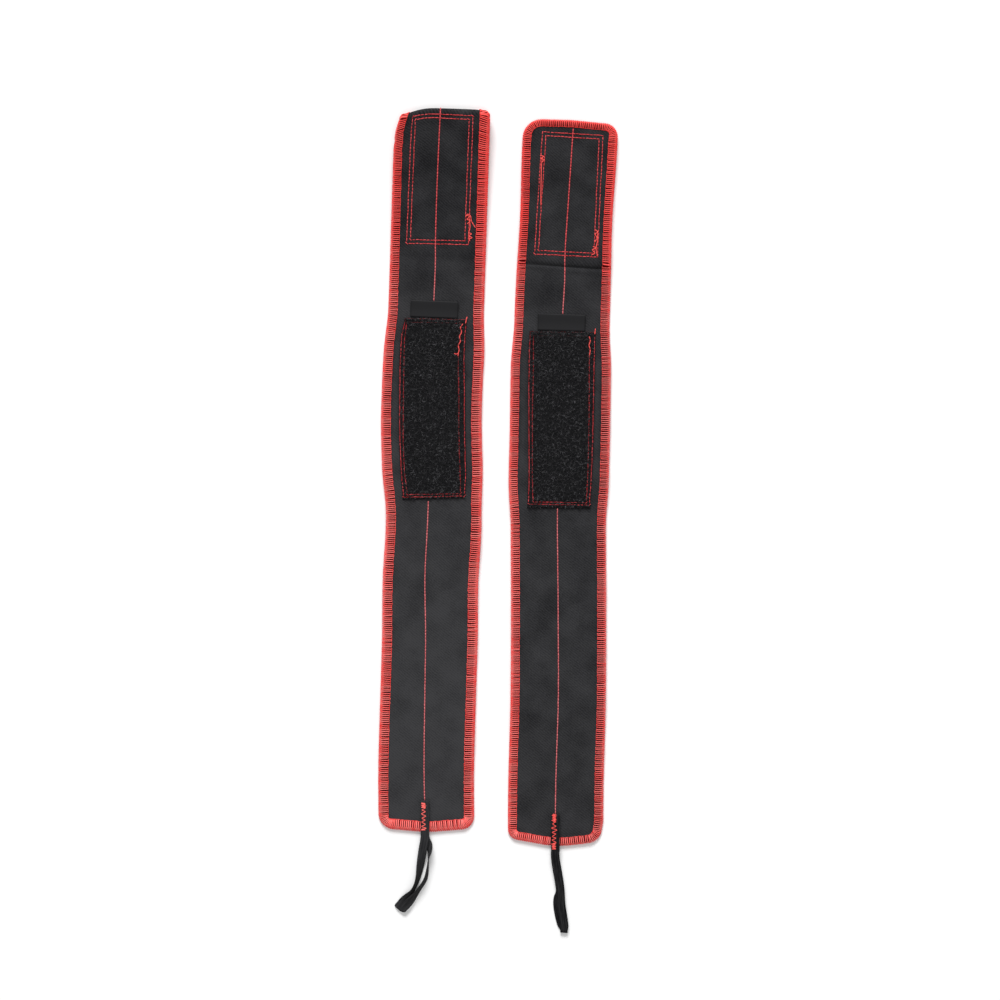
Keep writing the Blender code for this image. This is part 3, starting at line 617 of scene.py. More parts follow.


# woven goods: weave and fibre fade give a share from dark to light, raised by a piece's painted light: the
# lighter tail, the cloth beside the patch, and sheen on the elastic
wovenLooks = {
    "strapCloth": {
        "dark": (0.005, 0.005, 0.006), "light": (0.0385, 0.0385, 0.041), "gloss": 0.12, "sheen": 0.025,
        "pitch": 0.0018, "slant": math.radians(38), "wander": 0.9, "broad": 42.0, "fine": 760.0, "mix": 0.45,
        "yarn": "Ridge", "yarnShare": 0.30, "fadeShare": 2.1, "start": -1.20,
        "smooth": 0.78, "rough": 0.95, "bump": 0.4, "deep": 0.00012, "fuzz": 0.5, "drawn": 1.0},
    "tapeWeave": {
        "dark": (0.003, 0.003, 0.004), "light": (0.013, 0.013, 0.014), "gloss": 0.1, "sheen": 0.01,
        "pitch": 0.0010, "slant": 0.0, "wander": 0.3, "broad": 60.0, "fine": 1800.0, "mix": 0.5,
        "yarn": "Height", "yarnShare": 0.5, "fadeShare": 0.6, "start": 0.0,
        "smooth": 0.65, "rough": 0.9, "bump": 0.6, "deep": 0.00015, "fuzz": 0.0, "drawn": 1.0},
    "labelSatin": {
        "dark": (0.003, 0.003, 0.004), "light": (0.011, 0.011, 0.0125), "gloss": 0.26, "sheen": 0.0,
        "pitch": 0.0007, "slant": math.radians(68), "wander": 0.2, "broad": 90.0, "fine": 2200.0, "mix": 0.4,
        "yarn": "Ridge", "yarnShare": 0.4, "fadeShare": 0.6, "start": 0.0,
        "smooth": 0.56, "rough": 0.72, "bump": 0.4, "deep": 0.00008, "fuzz": 0.0, "drawn": 1.0},
    "ribbedElastic": {
        "dark": (0.0015, 0.0015, 0.002), "light": (0.046, 0.046, 0.048), "gloss": 0.06, "sheen": 0.0,
        "pitch": 0.0009, "slant": 0.0, "wander": 0.4, "broad": 900.0, "fine": 3000.0, "mix": 0.45,
        "yarn": "Height", "yarnShare": 0.30, "fadeShare": 2.6, "start": -1.15,
        "smooth": 0.6, "rough": 0.85, "bump": 0.7, "deep": 0.00018, "fuzz": 0.0, "drawn": 0.045},
}
woven = {}
for name, look in wovenLooks.items():
    woven[name], tree, shader = newMaterial(name, Specular_IOR_Level=look["gloss"],
                                            Sheen_Weight=look["sheen"])
    flat = readMark(tree, "flat")
    weave = useGroup(tree, weaveTree, Flat=flat, Pitch=look["pitch"], Slant=look["slant"],
                     Wander=look["wander"])
    drawn = addNode(tree, "ShaderNodeMapping",
                    {"Vector": flat, "Scale": (1.0, look["drawn"], 1.0)}).outputs[0]
    fade = useGroup(tree, fibreTree, Place=drawn, Broad=look["broad"], Fine=look["fine"],
                    Share=look["mix"])["Fade"]
    share = timesPlus(tree, weave[look["yarn"]], look["yarnShare"],
                      timesPlus(tree, fade, look["fadeShare"], look["start"]))
    colour = mixColour(tree, plus(tree, share, readMark(tree, "worn", "Fac")), look["dark"], look["light"])
    height = timesPlus(tree, fade, look["fuzz"], weave["Height"])
    addLook(tree, shader, colour, fitRange(tree, fade, 0.3, 0.7, look["smooth"], look["rough"]),
            (height, look["bump"], look["deep"]))

# threads go from deep red to a pale bright red, less pale on the tab; the pale bright end is a painted
# highlight, and painted shading on the overlock's strands pushes them lighter or darker
threadLooks = {
    "overlockThread": {"deep": (0.98, 0.042, 0.038), "bright": (1.0, 0.240, 0.220),
                       "onTab": (1.0, 0.130, 0.118),
                       "twist": 0.0011, "rough": 0.55, "gloss": 0.06},
    "seamThread": {"deep": (0.32, 0.010, 0.015), "bright": (0.84, 0.26, 0.275), "onTab": (0.84, 0.12, 0.13),
                   "twist": 0.0012, "rough": 0.45, "gloss": 0.2},
    "rowThread": {"deep": (0.34, 0.005, 0.008), "bright": (0.80, 0.105, 0.115),
                  "onTab": (0.80, 0.105, 0.115),
                  "twist": 0.0012, "rough": 0.45, "gloss": 0.1},
    "tackThread": {"deep": (0.72, 0.012, 0.012), "bright": (1.0, 0.190, 0.165),
                   "onTab": (0.92, 0.110, 0.110),
                   "twist": 0.0012, "rough": 0.45, "gloss": 0.3},
}
gapShadeColour = (0.15, 0.0015, 0.002)  # painted shade: the thread that shows between the overlock's bars, much darker than the red since it lies in the bars' shadow
tabStart, tabFull = 0.46, 0.51
threads = {}
for name, look in threadLooks.items():
    threads[name], tree, shader = newMaterial(name, Specular_IOR_Level=look["gloss"])
    marked = readMark(tree, "strand")
    twist = useGroup(tree, twistTree, Strand=marked, Twist=look["twist"])
    paintedShading = partsOf(tree, marked)[2]
    share = timesPlus(tree, twist["Ply"], 0.45, timesPlus(tree, readMark(tree, "shade", "Fac"), 0.55, paintedShading))
    onTab = fitRange(tree, partsOf(tree, readMark(tree, "flat"))[1], tabStart, tabFull, 0.0, 1.0)
    upper = mixColour(tree, share, look["deep"], mixColour(tree, onTab, look["bright"], look["onTab"]))
    colour = mixColour(tree, fitRange(tree, paintedShading, -1.0, -0.6, 1.0, 0.0), upper, gapShadeColour)
    addLook(tree, shader, colour,
            fitRange(tree, twist["Ply"], 0.0, 1.0, look["rough"] + 0.15, look["rough"]),
            (twist["Height"], 0.5, 0.00012))

pileLook = {"dark": (0.009, 0.009, 0.010), "light": (0.165, 0.165, 0.175), "clump": 420.0}
pile, tree, shader = newMaterial("loopPile", Specular_IOR_Level=0.2)
shade = readMark(tree, "shade", "Fac")
clump = fitRange(tree, noiseFrom(tree, readMark(tree, "flat"), pileLook["clump"], 1.0), 0.35, 0.65, 0.15,
                 1.0)
few = times(tree, doMath(tree, "POWER", shade, 3.0), clump)  # few loops catch the light
addLook(tree, shader, mixColour(tree, few, pileLook["dark"], pileLook["light"]),
        fitRange(tree, shade, 0.0, 1.0, 0.75, 0.35))

hookLook = {"dark": (0.012, 0.012, 0.013), "light": (0.03, 0.03, 0.032)}
hookNylon, tree, shader = newMaterial("hookNylon", Specular_IOR_Level=0.5)
shade = readMark(tree, "shade", "Fac")
addLook(tree, shader, mixColour(tree, shade, hookLook["dark"], hookLook["light"]),
        fitRange(tree, shade, 0.0, 1.0, 0.45, 0.3))
print("materials made")


# geometry trees
def randomValue(tree, low, high, seed, more=0):
    node = addNode(tree, "FunctionNodeRandomValue", {"Seed": plus(tree, seed, more)}, data_type="FLOAT")
    for value, socket in zip((low, high), (socket for socket in node.inputs if socket.enabled)):
        connect(tree, value, socket)
    return next(socket for socket in node.outputs if socket.enabled)


def jitter(tree, given, label, more=0):  # either way, up to the value of a named input
    return times(tree, randomValue(tree, -1.0, 1.0, given["Seed"], more), given[label])


def vectorOf(tree, *values):
    return addNode(tree, "ShaderNodeCombineXYZ", dict(enumerate(values))).outputs[0]


def asRotation(tree, *angles):
    return addNode(tree, "FunctionNodeEulerToRotation", {0: vectorOf(tree, *angles)}).outputs[0]


def turnedBy(tree, rotation, *angles):
    values = {"Rotation": rotation, "Rotate By": asRotation(tree, *angles)}
    return addNode(tree, "FunctionNodeRotateRotation", values, rotation_space="LOCAL").outputs[0]


def placeCopies(tree, given, made, points, rotation, scale):  # each with its own shade, as one mesh
    source = addNode(tree, "GeometryNodeObjectInfo", {"Object": given["Copy"]}).outputs["Geometry"]
    values = {"Points": points, "Instance": source, "Rotation": rotation, "Scale": scale}
    copies = addNode(tree, "GeometryNodeInstanceOnPoints", values).outputs["Instances"]
    shade = randomValue(tree, given["Dullest"], given["Brightest"], given["Seed"])
    values = {"Geometry": copies, "Name": "shade", "Value": shade}
    marked = addNode(tree, "GeometryNodeStoreNamedAttribute", values, data_type="FLOAT",
                     domain="INSTANCE").outputs[0]
    real = addNode(tree, "GeometryNodeRealizeInstances", {"Geometry": marked}).outputs[0]
    dressed = addNode(tree, "GeometryNodeSetMaterial",
                      {"Geometry": real, "Material": given["Look"]}).outputs[0]
    connect(tree, dressed, made["Pieces"])


# stitches along a line
sewTree, given, made = newGroup("sewRow", {
    "Line": "Geometry", "Copy": "Object", "Spacing": "Float", "Turn": "Float", "Roll": "Float",
    "Length Spread": "Float", "Width Spread": "Float", "Wave": "Float", "Stray": "Float", "Sink": "Float",
    "Dullest": "Float", "Brightest": "Float", "Seed": "Int", "Look": "Material",
}, {"Pieces": "Geometry"}, "GeometryNodeTree")
tree = sewTree
full = tree.nodes.new("GeometryNodeCaptureAttribute")  # the line's tilt says how full its stitches are
full.capture_items.new("FLOAT", "full")
connect(tree, given["Line"], full.inputs[0])
connect(tree, tree.nodes.new("GeometryNodeInputCurveTilt").outputs[0], full.inputs[1])
dots = addNode(tree, "GeometryNodeCurveToPoints", {"Curve": full.outputs[0], "Length": given["Spacing"]},
               mode="LENGTH")
face = addNode(tree, "FunctionNodeAlignRotationToVector", {"Vector": dots.outputs["Tangent"]}, axis="X",
               pivot_axis="Z")
where = tree.nodes.new("GeometryNodeInputPosition").outputs[0]
patches = times(tree, doMath(tree, "SUBTRACT", noiseFrom(tree, where, 70.0), 0.5), given["Wave"])
sunk = times(tree, fitRange(tree, noiseFrom(tree, where, 46.0), 0.32, 0.68, 0.0, -1.0), given["Sink"])
offset = vectorOf(tree, jitter(tree, given, "Stray", 31), jitter(tree, given, "Stray", 37), sunk)
moved = addNode(tree, "GeometryNodeSetPosition",
                {"Geometry": dots.outputs["Points"], "Offset": offset}).outputs[0]
thickness = plus(tree, plus(tree, jitter(tree, given, "Length Spread", 11), patches),
                 plus(tree, full.outputs[1], 1.0))
radius = tree.nodes.new("GeometryNodeInputRadius").outputs[0]
breadth = times(tree, radius, plus(tree, jitter(tree, given, "Width Spread", 23), 1.0))
turned = turnedBy(tree, face.outputs[0], given["Roll"], 0.0, jitter(tree, given, "Turn"))
placeCopies(tree, given, made, moved, turned, vectorOf(tree, thickness, breadth, 1.0))


def fieldTree(name, strewn):  # fibres strewn over a field's faces, or one on each of its points
    tree, given, made = newGroup(name, {
        "Field": "Geometry", "Copy": "Object", "Density": "Float", "Lean": "Float", "Spin": "Float",
        "Roll": "Float",
        "Smallest": "Float", "Largest": "Float", "Dullest": "Float", "Brightest": "Float", "Seed": "Int",
        "Look": "Material",
    }, {"Pieces": "Geometry"}, "GeometryNodeTree")
    points = given["Field"]
    if strewn:
        cover = addNode(tree, "GeometryNodeInputNamedAttribute", {"Name": "cover"}, data_type="FLOAT_VECTOR")
        share = partsOf(tree, next(socket for socket in cover.outputs if socket.enabled))[0]
        values = {"Mesh": points, "Density": times(tree, given["Density"], share), "Seed": given["Seed"]}
        points = addNode(tree, "GeometryNodeDistributePointsOnFaces", values).outputs["Points"]
    upright = asRotation(tree, given["Roll"], 0.0, jitter(tree, given, "Spin", 7))
    turned = turnedBy(tree, upright, jitter(tree, given, "Lean", 3), jitter(tree, given, "Lean", 5), 0.0)
    size = randomValue(tree, given["Smallest"], given["Largest"], given["Seed"], 9)
    placeCopies(tree, given, made, points, turned, vectorOf(tree, size, size, size))
    return tree


strewTree = fieldTree("strewnField", True)
standTree = fieldTree("standingField", False)
sources = []


def stitchSource(name, strands):
    points, faces, marks = gather(strands)
    sources.append(makePiece(name, points, faces, strand=marks))
    return sources[-1]


def evenLine(points, closed, step=0.0008):  # the same line cut into short stretches
    ends = np.concatenate([points, points[:1]]) if closed else points
    run = runAlong(ends)
    at = np.linspace(0, run[-1], max(2, round(run[-1] / step)) + 1)
    line = np.stack([np.interp(at, run, values) for values in ends.T], 1)
    return line[:-1] if closed else line


def lineHost(points, closed, up, scales=None, fulls=None):
    points = evenLine(points, closed)
    curve = bpy.data.curves.new("line", "CURVE")
    curve.dimensions = "3D"
    spline = curve.splines.new("POLY")
    spline.points.add(len(points) - 1)
    for point, place in zip(spline.points, points):
        point.co = (*place, up, 1.0)
    for mark, values in (("radius", scales), ("tilt", fulls)):
        if values:
            spline.points.foreach_set(mark, np.asarray(values(points), np.float32))
    spline.use_cyclic_u = closed
    return showObject("line", curve)


# run a geometry tree on its host, keep the plain mesh and lay it down
def grow(name, host, tree, wrap, **values):
    modifier = host.modifiers.new("grow", "NODES")
    modifier.node_group = tree
    sockets = {item.name: item.identifier for item in tree.interface.items_tree if item.in_out == "INPUT"}
    for label, value in values.items():
        modifier[sockets[label.replace("_", " ")]] = value
    host.update_tag()
    bpy.context.view_layer.update()
    graph = bpy.context.evaluated_depsgraph_get()
    mesh = bpy.data.meshes.new_from_object(host.evaluated_get(graph))
    host.modifiers.remove(modifier)
    bpy.data.objects.remove(host, do_unlink=True)
    mesh.name = name
    mesh.materials.clear()
    mesh.materials.append(values["Look"])
    mesh.polygons.foreach_set("material_index", np.zeros(len(mesh.polygons), np.int32))
    mesh.shade_smooth()
    flat = np.empty(len(mesh.vertices) * 3, np.float32)
    mesh.vertices.foreach_get("co", flat)
    mesh.attributes.new("flat", "FLOAT_VECTOR", "POINT").data.foreach_set("vector", flat)
    mesh.vertices.foreach_set("co", layDown(wrap, flat).astype(np.float32).ravel())
    mesh.update()
    return showObject(name, mesh)


def settle(piece, slot, body, *nodes):  # body is a name to attach the piece to, or a fold, where the piece is only baked in place
    if isinstance(body, dict):
        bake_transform(piece)
    else:
        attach(piece, body)
    if nodes:
        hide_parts(*nodes)


def sewRow(name, line, closed, up, wrap, stitch, seed, under=False, scales=None):  # one row of dashes
    spread, sink = stitch["uneven"], stitch["sink"]
    return grow(name, lineHost(line, closed, up, scales), sewTree, wrap, Copy=stitch["source"],
                Spacing=stitch["pitch"], Turn=0.05, Roll=math.pi if under else 0.0, Length_Spread=spread,
                Width_Spread=0.1, Wave=spread, Stray=stitch["stray"], Sink=-sink if under else sink,
                Seed=seed,
                Dullest=stitch["dullest"], Brightest=stitch["brightest"], Look=threads[stitch["look"]])


# two rows and their lower threads
def sewBox(side, wrap, name, lines, body, top, low, seed, stitch, scales=None):
    for number, (row, line) in enumerate(zip(("outer", "inner"), lines)):
        upper = sewRow(f"{side}_{name}_row_{row}", line, True, top, wrap, stitch, seed + number,
                       scales=scales)
        settle(upper, "sewing_thread", body, f"{side}_{name}_stitch_{row}")
        lower = sewRow(f"{side}_{name}_bobbin_{row}", line, True, low, wrap, rowStitch, seed + 5 + number,
                       True)
        settle(lower, "sewing_thread", body)


# stitch shapes, the overlock's in millimetres until made
overlockStitch = {
    "over": [(0.11, 7.15, 2.40), (0.15, 6.4, 2.96), (0.165, 2.1, 3.16), (0.38, 0.6, 2.98),
             (0.44, -0.95, 1.70),
             (0.38, 0.5, 0.45), (0.15, 7.15, 0.70)],
    "wide": (0.14, 0.185, 0.20, 0.30, 0.385, 0.35, 0.19),
    "thick": (0.12, 0.16, 0.17, 0.20, 0.24, 0.22, 0.16),
    # painted shading along each bar: lighter on the inner bars, which face the light, darker on the outer
    # loops, which turn down into shade
    "paintedShading": (0.10, 0.26, 0.28, 0.06, -0.34, -0.20, 0.10), "pitch": 0.00170,
    "needle": [(-0.82, 7.0, 2.50), (0.0, 7.0, 2.90), (0.82, 7.0, 2.50)], "needleWide": 0.22,
    # painted shade on the needle thread, whose row lies in shadow
    "needlePaintedShade": -0.2,
    "low": [(0.85, 6.8, 2.52), (0.85, 3.6, 2.66), (0.85, 0.3, 2.60)], "lowWide": 0.50, "lowThick": 0.10,
    # painted shade: the low thread takes the dark gap colour
    "lowPaintedShade": -1.0,
}
inMetres = {name: np.array(value) / 1000 for name, value in overlockStitch.items()}
bars = [strand(inMetres["over"] * (way, 1, 1), inMetres["wide"], inMetres["thick"], 5, (1, 0, 0),
               overlockStitch["paintedShading"])
        for way in (-1, 1)]
needle = strand(inMetres["needle"], inMetres["needleWide"], None, 4, (0, 1, 0), overlockStitch["needlePaintedShade"])
low = strand(inMetres["low"], inMetres["lowWide"], inMetres["lowThick"], 4, (1, 0, 0),
             overlockStitch["lowPaintedShade"])
overlockSource = stitchSource("overlockStitch", [*bars, needle, low])

# sunk at both ends
dashShape = [(-0.5, -0.9), (-0.38, 0.5), (-0.12, 0.95), (0.12, 0.95), (0.38, 0.5), (0.5, -0.9)]
seamStitch = {"long": 0.0029, "thick": 0.00050, "pitch": 0.0027, "uneven": 0.08, "stray": 0.00006,
              "sink": 0.00008,
              "dullest": 0.20, "brightest": 0.65, "look": "seamThread"}
rowStitch = {"long": 0.0026, "thick": 0.00038, "pitch": 0.0030, "uneven": 0.18, "stray": 0.00016,
             "sink": 0.00028,
             "dullest": 0.1, "brightest": 1.0, "look": "rowThread"}
# patch stitches run darker: painted shade from the pile around them
patchStitch = {**rowStitch, "thick": 0.00029, "sink": 0.00036, "dullest": -0.15, "brightest": 0.95}
for name, stitch in (("seamStitch", seamStitch), ("rowStitch", rowStitch), ("patchStitch", patchStitch)):
    path = [(place * stitch["long"], 0, high * stitch["thick"]) for place, high in dashShape]
    stitch["source"] = stitchSource(name,
                                    [strand(path, stitch["thick"], 0.85 * stitch["thick"], 6, (0, 1, 0))])

pileLoop = {"wide": 0.0016, "high": 0.0012, "thick": 0.00015, "twist": 0.0001, "sunk": 0.0001,
            "density": 780000.0,
            "sides": 0.5, "head": 2.0, "foot": 0.7, "hem": 0.85}
angle = np.radians((-100, -50, 0, 50, 100))
path = np.column_stack([pileLoop["wide"] / 2 * np.sin(angle) - pileLoop["sunk"],
                        pileLoop["twist"] * np.sin(2 * angle),
                        pileLoop["high"] * np.maximum(0.0, np.cos(angle)) - pileLoop["sunk"]])
pileSource = stitchSource("pileLoop", [strand(path, pileLoop["thick"], None, 3, (0, 1, 0))])

hookShape = {"thick": 0.00011, "stepAcross": 0.0017, "stepAlong": 0.0019,
             "path": [(0, 0, 0.0002), (0, 0, -0.00045), (0.00006, 0, -0.00075), (0.0003, 0, -0.00092),
                      (0.00052, 0, -0.00080), (0.00058, 0, -0.00055)]}
hookSource = stitchSource("hook", [strand(hookShape["path"], hookShape["thick"], None, 4, (0, 1, 0))])
print("stitch shapes made")


def lineDistance(points, line, closed):
    nearest = np.full(len(points), 1.0)
    for start, end in zip(line, np.roll(line, -1, 0) if closed else line[1:]):
        way = end - start
        share = np.clip((points - start) @ way / (way @ way), 0, 1)
        nearest = np.minimum(nearest, np.linalg.norm(points - start - share[:, None] * way, axis=1))
    return nearest


def pulledIn(across, along, rows, deep, wide):  # how far rows of stitching pull a sheet in
    plan = np.stack([across.ravel(), along.ravel()], 1)
    return np.max([deep * hump(lineDistance(plan, *row), wide) for row in rows], 0).reshape(across.shape)


clothSheet = {"step": 0.001, "rowStep": 0.0021, "creaseStep": 0.0008, "foldStep": 0.0005, "foldLong": 0.0065,
              "pull": 0.00030, "pullWide": 0.0011, "edgeRow": 0.0072, "edgePull": 0.00030, "backPull": 0.7,
              "inset": 0.0002, "endFade": 0.03}


def clothGrid(wrap, step, rowStep):  # across and along of a sheet that fills the cut edge
    length, fold, wide = wrap["length"], strap["foldStart"], strap["width"] / 2
    stretches = [(0, 0.30, rowStep), (0.30, 0.48, rowStep), (0.48, 0.502, clothSheet["creaseStep"])]
    if wrap["tipFold"]:
        stretches += [(0.502, fold, rowStep), (fold, fold + clothSheet["foldLong"], clothSheet["foldStep"])]
        last = [length - 0.003, length]
    else:
        stretches.append((0.502, length, rowStep))
        last = [length]
    alongs = np.concatenate([*(np.arange(*stretch) for stretch in stretches), last])
    side, along = np.meshgrid(np.linspace(-1, 1, round(strap["width"] / step) + 1),
                              np.unique(np.round(alongs, 6)))
    inset = np.where(side < 0, *wrap["cornerInset"]) * np.clip(1 - (along - 0.004) / 0.018, 0, 1)
    across = side * (halfWidth(along) - inset - clothSheet["inset"])

    # how an end's lean and round corners move the rows near it
    def endLine(lean, middle, corners, inward, way):
        slope = middle + (np.where(side < 0, *lean) - middle) * np.abs(side)
        corner = np.where(side < 0, *corners)
        into = np.clip(corner - (wide - np.abs(side) * wide), 0, corner)
        turned = corner - np.sqrt(corner ** 2 - into ** 2)
        return (slope + way * turned) * np.clip(1 - inward / clothSheet["endFade"], 0, 1) ** 2

    low = endLine(wrap["thumbEnd"], wrap["endRise"], wrap["thumbCorners"], along, 1)
    high = endLine(wrap["closingEnd"], 0.0, wrap["closingCorners"], length - along, -1)
    return across, along + low + high


# painted light: the cloth is lighter on the tail than on the tab, and lighter again beside the patch, where
# the taut cloth slopes up and catches the light
def wornCloth(wrap, points):
    across, along = np.abs(points[:, 0]), points[:, 1]
    # the strip along the patch's sides gets extra painted light
    beside = easeStep((across - 0.0285) / 0.002) * easeStep((0.0345 - across) / 0.003)
    beside = beside * easeStep((along - 0.30) / 0.03) * easeStep((0.425 - along) / 0.02)
    worn = lineThrough(wrap["worn"], along)[0] + 0.16 * beside
    return np.repeat(worn[:, None], 3, 1)


def clothPiece(name, wrap, low, high, rows, faceUp):
    coarser, taller = (1, 1) if faceUp else (2, 1.5)
    across, along = clothGrid(wrap, coarser * clothSheet["step"], taller * clothSheet["rowStep"])
    plan = np.stack([across.ravel(), along.ravel()], 1)
    fromEdge = lineDistance(plan, wrap["edge"], True).reshape(across.shape) - clothSheet["edgeRow"]
    pull = np.maximum(pulledIn(across, along, rows, clothSheet["pull"], clothSheet["pullWide"]),
                      clothSheet["edgePull"] * hump(fromEdge, clothSheet["pullWide"]))
    top, bottom = (high - pull, low) if faceUp else (high, low + clothSheet["backPull"] * pull)
    points, faces = closedSheet(gridOf(across, along, top), gridOf(across, along, bottom))
    return makePiece(name, layDown(wrap, points), faces, woven["strapCloth"], flat=points,
                     worn=wornCloth(wrap, points))


tapeSheet = {"base": 0.0007, "margin": 0.0009, "foot": 0.0028, "pull": 0.00025, "pullWide": 0.0009,
             "rimDrop": 0.0003, "rimWide": 0.0005, "rows": 90, "columns": 61}


def hemEdge(wrap):  # where the loop tape's lower edge lies
    return wrap["patchOuter"]["left"][0][0] - wrap["patchHem"]


def loopPatch(side, wrap):
    outer, inner, margin = wrap["patchOuter"], wrap["patchInner"], tapeSheet["margin"]
    rows = [boxLine(outer), boxLine(inner)]
    foot, face = tapeSheet["foot"], tapeSheet["foot"] + tapeSheet["base"]
    alongs = np.linspace(hemEdge(wrap), outer["left"][-1][0] + margin, tapeSheet["rows"])
    share = np.linspace(0, 1, tapeSheet["columns"])
    left, right, innerLeft, innerRight = (lineThrough(box[hand], alongs)[0][:, None]
                                          for box in (outer, inner) for hand in ("left", "right"))
    wide = right - left + 2 * margin
    across, along = left - margin + wide * share, np.repeat(alongs[:, None], len(share), 1)
    pull = pulledIn(across, along, [(row, True) for row in rows], tapeSheet["pull"], tapeSheet["pullWide"])
    rim = np.minimum(np.minimum(share, 1 - share) * wide, np.minimum(along - alongs[0], alongs[-1] - along))
    top = face - pull - tapeSheet["rimDrop"] * hump(rim, tapeSheet["rimWide"])
    points, faces = closedSheet(gridOf(across, along, top), gridOf(across, along, foot))
    base = makePiece(f"{side}_loop_tape", layDown(wrap, points), faces, woven["tapeWeave"], flat=points)
    settle(base, "loop_pile", "wraps", f"{side}_loop_patch")

    head, sunk = inner["left"][-1][0], 0.0001
    inside = np.minimum(across - innerLeft, innerRight - across) - 0.0006  # in from the inner row
    cover = pileLoop["sides"] + (1 - pileLoop["sides"]) * easeStep(inside / 0.0015 + 1)
    cover = np.where(along < inner["left"][0][0], pileLoop["foot"], cover)
    cover = cover * easeStep(rim / 0.0016 - 0.3)  # the cut rim is bare
    cover = np.where((head - along < 0.001) & (inside > -0.002), pileLoop["head"], cover)
    cover = np.where(along < alongs[0] + wrap["patchHem"] - 0.0004, pileLoop["hem"], cover)
    ground = gridOf(across, along, face - sunk).reshape(-1, 3)
    cells = gridFaces(np.arange(across.size).reshape(across.shape)).tolist()
    host = makePiece("field", ground, cells, cover=np.repeat(cover.reshape(-1, 1), 3, 1))
    curls = grow(f"{side}_pile_loops", host, strewTree, wrap, Copy=pileSource, Density=pileLoop["density"],
                 Lean=0.75,
                 Spin=math.pi, Roll=0.0, Smallest=0.75, Largest=1.35, Dullest=0.0, Brightest=1.0,
                 Seed=4 if side == "left" else 5, Look=pile)
    settle(curls, "loop_pile", "wraps")
    sewBox(side, wrap, "loop", rows, "wraps", face - sunk, strap["backLow"] + strap["sunk"], 20, patchStitch,
           lambda spots: 1 - wrap["headSunk"] * easeStep((spots[:, 1] - (head - 0.002)) / 0.002))


hookTape = {"margin": 0.0012, "gap": 0.00025, "rowInset": 0.0031, "hookInset": 0.0056, "rows": 50,
            "columns": 28}


def hookPatch(side, wrap):
    tab, outer = side + "_tab", np.array(wrap["hookBox"])
    first, last = outer.min(0) - hookTape["margin"], outer.max(0) + hookTape["margin"]
    last[1] = min(last[1], strap["hookHead"])
    across, along = np.meshgrid(np.linspace(first[0], last[0], hookTape["columns"]),
                                np.linspace(first[1], last[1], hookTape["rows"]))
    top = strap["backLow"] - hookTape["gap"]
    low = top - tapeSheet["base"]
    points, faces = closedSheet(gridOf(across, along, top), gridOf(across, along, low))
    base = makePiece(f"{side}_hook_base", layDown(wrap, points), faces, woven["tapeWeave"], flat=points)
    settle(base, "hook_tape", tab, f"{side}_hook_tape")

    field = insetBox(outer, hookTape["hookInset"])
    (x, y), (farX, farY) = field.min(0), field.max(0)
    across, along = np.meshgrid(np.arange(x, farX, hookShape["stepAcross"]),
                                np.arange(y, farY, hookShape["stepAlong"]))
    host = makePiece("field", gridOf(across, along, low).reshape(-1, 3), [])
    hooks = grow(f"{side}_hooks", host, standTree, wrap, Copy=hookSource, Density=0.0, Lean=0.18,
                 Spin=math.pi, Roll=0.0,
                 Smallest=0.92, Largest=1.05, Dullest=0.0, Brightest=1.0, Seed=31, Look=hookNylon)
    settle(hooks, "hook_tape", tab)
    sewBox(side, wrap, "hook", (outer, insetBox(outer, hookTape["rowInset"])), tab,
           strap["face"] - strap["sunk"],
           low + strap["sunk"], 40, rowStitch)


labelSheet = {"width": 0.040, "height": 0.0137, "ply": 0.0003, "lift": 0.0007, "gap": 0.00028,
              "fold": 0.00055,
              "curl": 0.0005}


def centreSeam(side, wrap):
    def run(name, first, last, up, seed, under=False):
        along = np.arange(first, last, 0.003)
        line = np.stack([lineThrough(wrap["seam"], along)[0], along], 1)
        return sewRow(f"{side}_seam_{name}", line, False, up, wrap, seamStitch, seed, under)

    start, face = wrap["seam"][0][0], strap["face"] - strap["sunk"]
    neck = wrap["labelFoot"] + labelSheet["height"] - 0.004
    end = wrap["length"] - (0.001 if wrap["tipFold"] else 0.0072)
    tail = run("0", start, hemEdge(wrap) - 0.0003, face, 60)
    upper = run("1", neck, end, face, 61)
    lower = run("bobbin", start, strap["crease"], strap["backLow"] + strap["sunk"], 65, True)
    settle(tail, "sewing_thread", "wraps", f"{side}_tail_seam")
    settle(upper, "sewing_thread", wrap["tabFold"], f"{side}_neck_seam", f"{side}_tab_seam")
    settle(lower, "sewing_thread", "wraps")


def ribbon(middle, aside, wide, thick):  # a flat tape along middle, as two grids of points
    normal = unit(np.cross(aside, np.gradient(middle, axis=0)))
    spread = middle[:, None] + aside[:, None] * wide[None, :, None]
    raised = normal[:, None] * thick[None, :, None]
    return spread + raised, spread - raised


